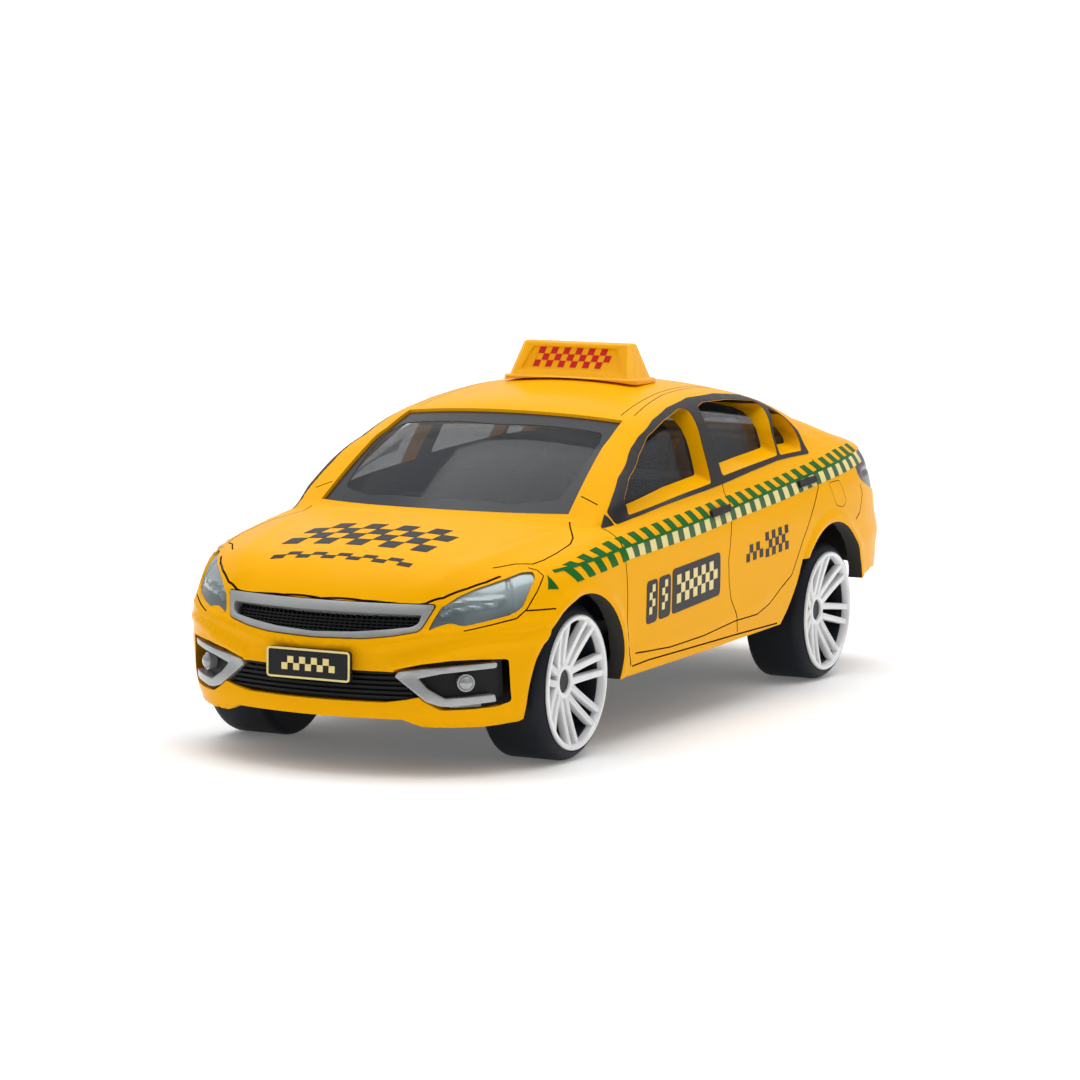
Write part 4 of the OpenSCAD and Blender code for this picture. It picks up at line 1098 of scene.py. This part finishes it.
def make_sign():
    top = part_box("roof_sign")[1].z / MM
    foot = top - SIGN_H
    sign = hull_of("roof_sign_moulding", [
        (5.4, 1.98, foot - 0.7, 0.4), (5.4, 1.98, foot - 0.02, 0.4), (5.3, 1.9, foot + 0.08, 0.4),
        (5.06, 1.72, foot + 0.1, 0.4), (4.38, 0.68, top - 0.12, 0.25), (4.28, 0.55, top, 0.25)])
    panel = rounded([(-4.1, foot + 0.45), (4.1, foot + 0.45), (3.4, top - 0.35), (-3.4, top - 0.35)], 0.25)
    for way in (-1, 1):
        cut(sign, prism("panel", panel, sign_face(way, foot, 0.12), 0, 1))
    crown = 45.5
    arc = [(x, foot - crown + math.sqrt(crown**2 - x * x)) for x in np.linspace(-8, 8, 41)]
    cut(sign, prism("crown", arc + [(8, foot - 5), (-8, foot - 5)], from_front, 20, 33))
    settle(sign, ("sign",), bevel=0.09, degrees=50, replaces=("roof_sign",))
    for way, name in ((-1, "front"), (1, "rear")):
        cells = checks(-3.2, foot + 0.72, 12, 3, 0.5, 0.47, lean=0.25)
        settle(flat_patch(f"sign_checks_{name}", cells, sign_face(way, foot, 0.12), -0.03, 0.025),
               ("ink_red",))


# ---------------------------------------------------------------- wheels

TYRE_R = 5.25
RIM_R = 4.55
WHEEL_OUT = 13.1
TYRE_W = 4.8
SPOKE_PAIRS = 7
SPOKE_TURN = {"front": math.radians(10), "rear": math.radians(-10)}


def arc_points(centre, radius, start, end, steps):
    """Points on an arc from the angle start to the angle end, in degrees."""
    return [(centre[0] + radius * math.cos(math.radians(a)), centre[1] + radius * math.sin(math.radians(a)))
            for a in np.linspace(start, end, steps)]


def make_wheel(end, side):
    """Tyre, rim face and hub of one wheel, with its outer face away from the car's middle."""
    body = f"wheel_{end}_{side}"
    station = 0 if end == "front" else WHEELBASE
    face, back = WHEEL_OUT - 0.12, WHEEL_OUT - TYRE_W
    tread = [(RIM_R - 0.02, face - 0.5), (RIM_R - 0.02, face - 0.1), (RIM_R + 0.1, face)]
    tread += arc_points((TYRE_R - 0.95, face - 0.95), 0.95, 70, 0, 9)
    tread += arc_points((TYRE_R - 0.5, back + 0.5), 0.5, 0, -90, 6)
    tread += [(RIM_R - 0.9, back), (RIM_R - 1.0, back + 0.4), (RIM_R - 1.0, back + 1.6), (0.62, back + 1.6),
              (0.62, face - 1.9), (RIM_R - 0.75, face - 1.9), (RIM_R - 0.55, face - 0.5)]
    tyre = lathe(f"tyre_{end}_{side}", tread, 128)
    ring = [(RIM_R - 0.42, WHEEL_OUT - 0.85), (RIM_R - 0.03, WHEEL_OUT - 0.85),
            (RIM_R - 0.03, WHEEL_OUT - 0.1), (RIM_R - 0.1, WHEEL_OUT - 0.01), (RIM_R - 0.3, WHEEL_OUT),
            (RIM_R - 0.37, WHEEL_OUT - 0.07), (RIM_R - 0.42, WHEEL_OUT - 0.2)]
    parts = [lathe("ring", ring, 128)]
    hub_face = WHEEL_OUT - 0.95
    hub = [(0.78, hub_face - 0.9), (1.22, hub_face - 0.9), (1.22, hub_face - 0.12), (1.12, hub_face),
           (0.86, hub_face), (0.78, hub_face - 0.08)]
    parts.append(lathe("hub", hub, 64))
    for i in range(SPOKE_PAIRS):
        for lean in (-1, 1):
            parts.append(spoke(2 * math.pi * i / SPOKE_PAIRS + SPOKE_TURN[end], lean, hub_face))
    rim = joined(parts, f"rim_{end}_{side}_face")
    # Dark disc deep in the hub's hole: painted shade in the bore.
    bore_shade = lathe(f"hub_cap_{end}_{side}",
                 [(0.001, hub_face - 0.85), (0.77, hub_face - 0.85), (0.77, hub_face - 0.3),
                  (0.45, hub_face - 0.38), (0.001, hub_face - 0.4)], 48)
    for obj in (tyre, rim, bore_shade):
        if side == "right":
            obj.data.transform(Matrix.Scale(-1, 4, (1, 0, 0)))
            obj.data.flip_normals()
        obj.data.transform(Matrix.Translation((0, station, AXLE_Z)))
    settle(tyre, ("tyre",), body, degrees=40, replaces=(f"wheel_{end}_{side}",))
    settle(rim, ("rim",), body, bevel=0.04, degrees=40, replaces=(f"rim_{end}_{side}",))
    settle(bore_shade, ("hub",), body, degrees=40)


def spoke(turn, lean, hub_face):
    """One bar of a double spoke, from the hub out and up to the ring."""
    inner, outer = 1.05, RIM_R - 0.38
    low, high = hub_face - 0.05, WHEEL_OUT - 0.14
    verts = []
    for t in np.linspace(0, 1, 7):
        r = inner + (outer - inner) * t
        half = 0.29 - 0.03 * t
        across = lean * (0.36 + 0.22 * t)
        top = low + (high - low) * (t ** 1.25)
        verts += [(top - 0.5, r, across - half), (top - 0.5, r, across + half),
                  (top, r, across + half * 0.8), (top, r, across - half * 0.8)]
    bar = swept("spoke", verts, 4)
    bar.data.transform(Matrix.Rotation(turn, 4, "X"))
    return bar


# ---------------------------------------------------------------- pieces kept from the frame

# The axles take the hub's painted shadow finish in place of steel.
KEPT = {"chassis_base": "base", "interior_tub": "cabin", "front_plate": "black", "rear_plate": "black",
        "front_rivet": "steel", "rear_rivet": "steel", "front_spring": "steel", "rear_spring": "steel",
        "front_axle": "hub", "rear_axle": "hub"}


def dress_kept_nodes():
    """Finish for the pieces whose shape is right as it is, and softened edges for the chassis base and the
    interior tub.
    """
    for name, look in KEPT.items():
        node = frame["nodes"][name]
        node.data.materials.clear()
        node.data.materials.append(LOOK[look])
        if name in ("chassis_base", "interior_tub"):
            add_bevel(node, 0.08)


LOOK = make_materials()
add_camera()
add_studio()
make_body()
make_glazing()
make_lamps()
make_grilles()
make_fog_lamps()
make_plates()
make_marks()
make_sign()
for wheel_end in ("front", "rear"):
    for wheel_side in ("left", "right"):
        make_wheel(wheel_end, wheel_side)
dress_kept_nodes()
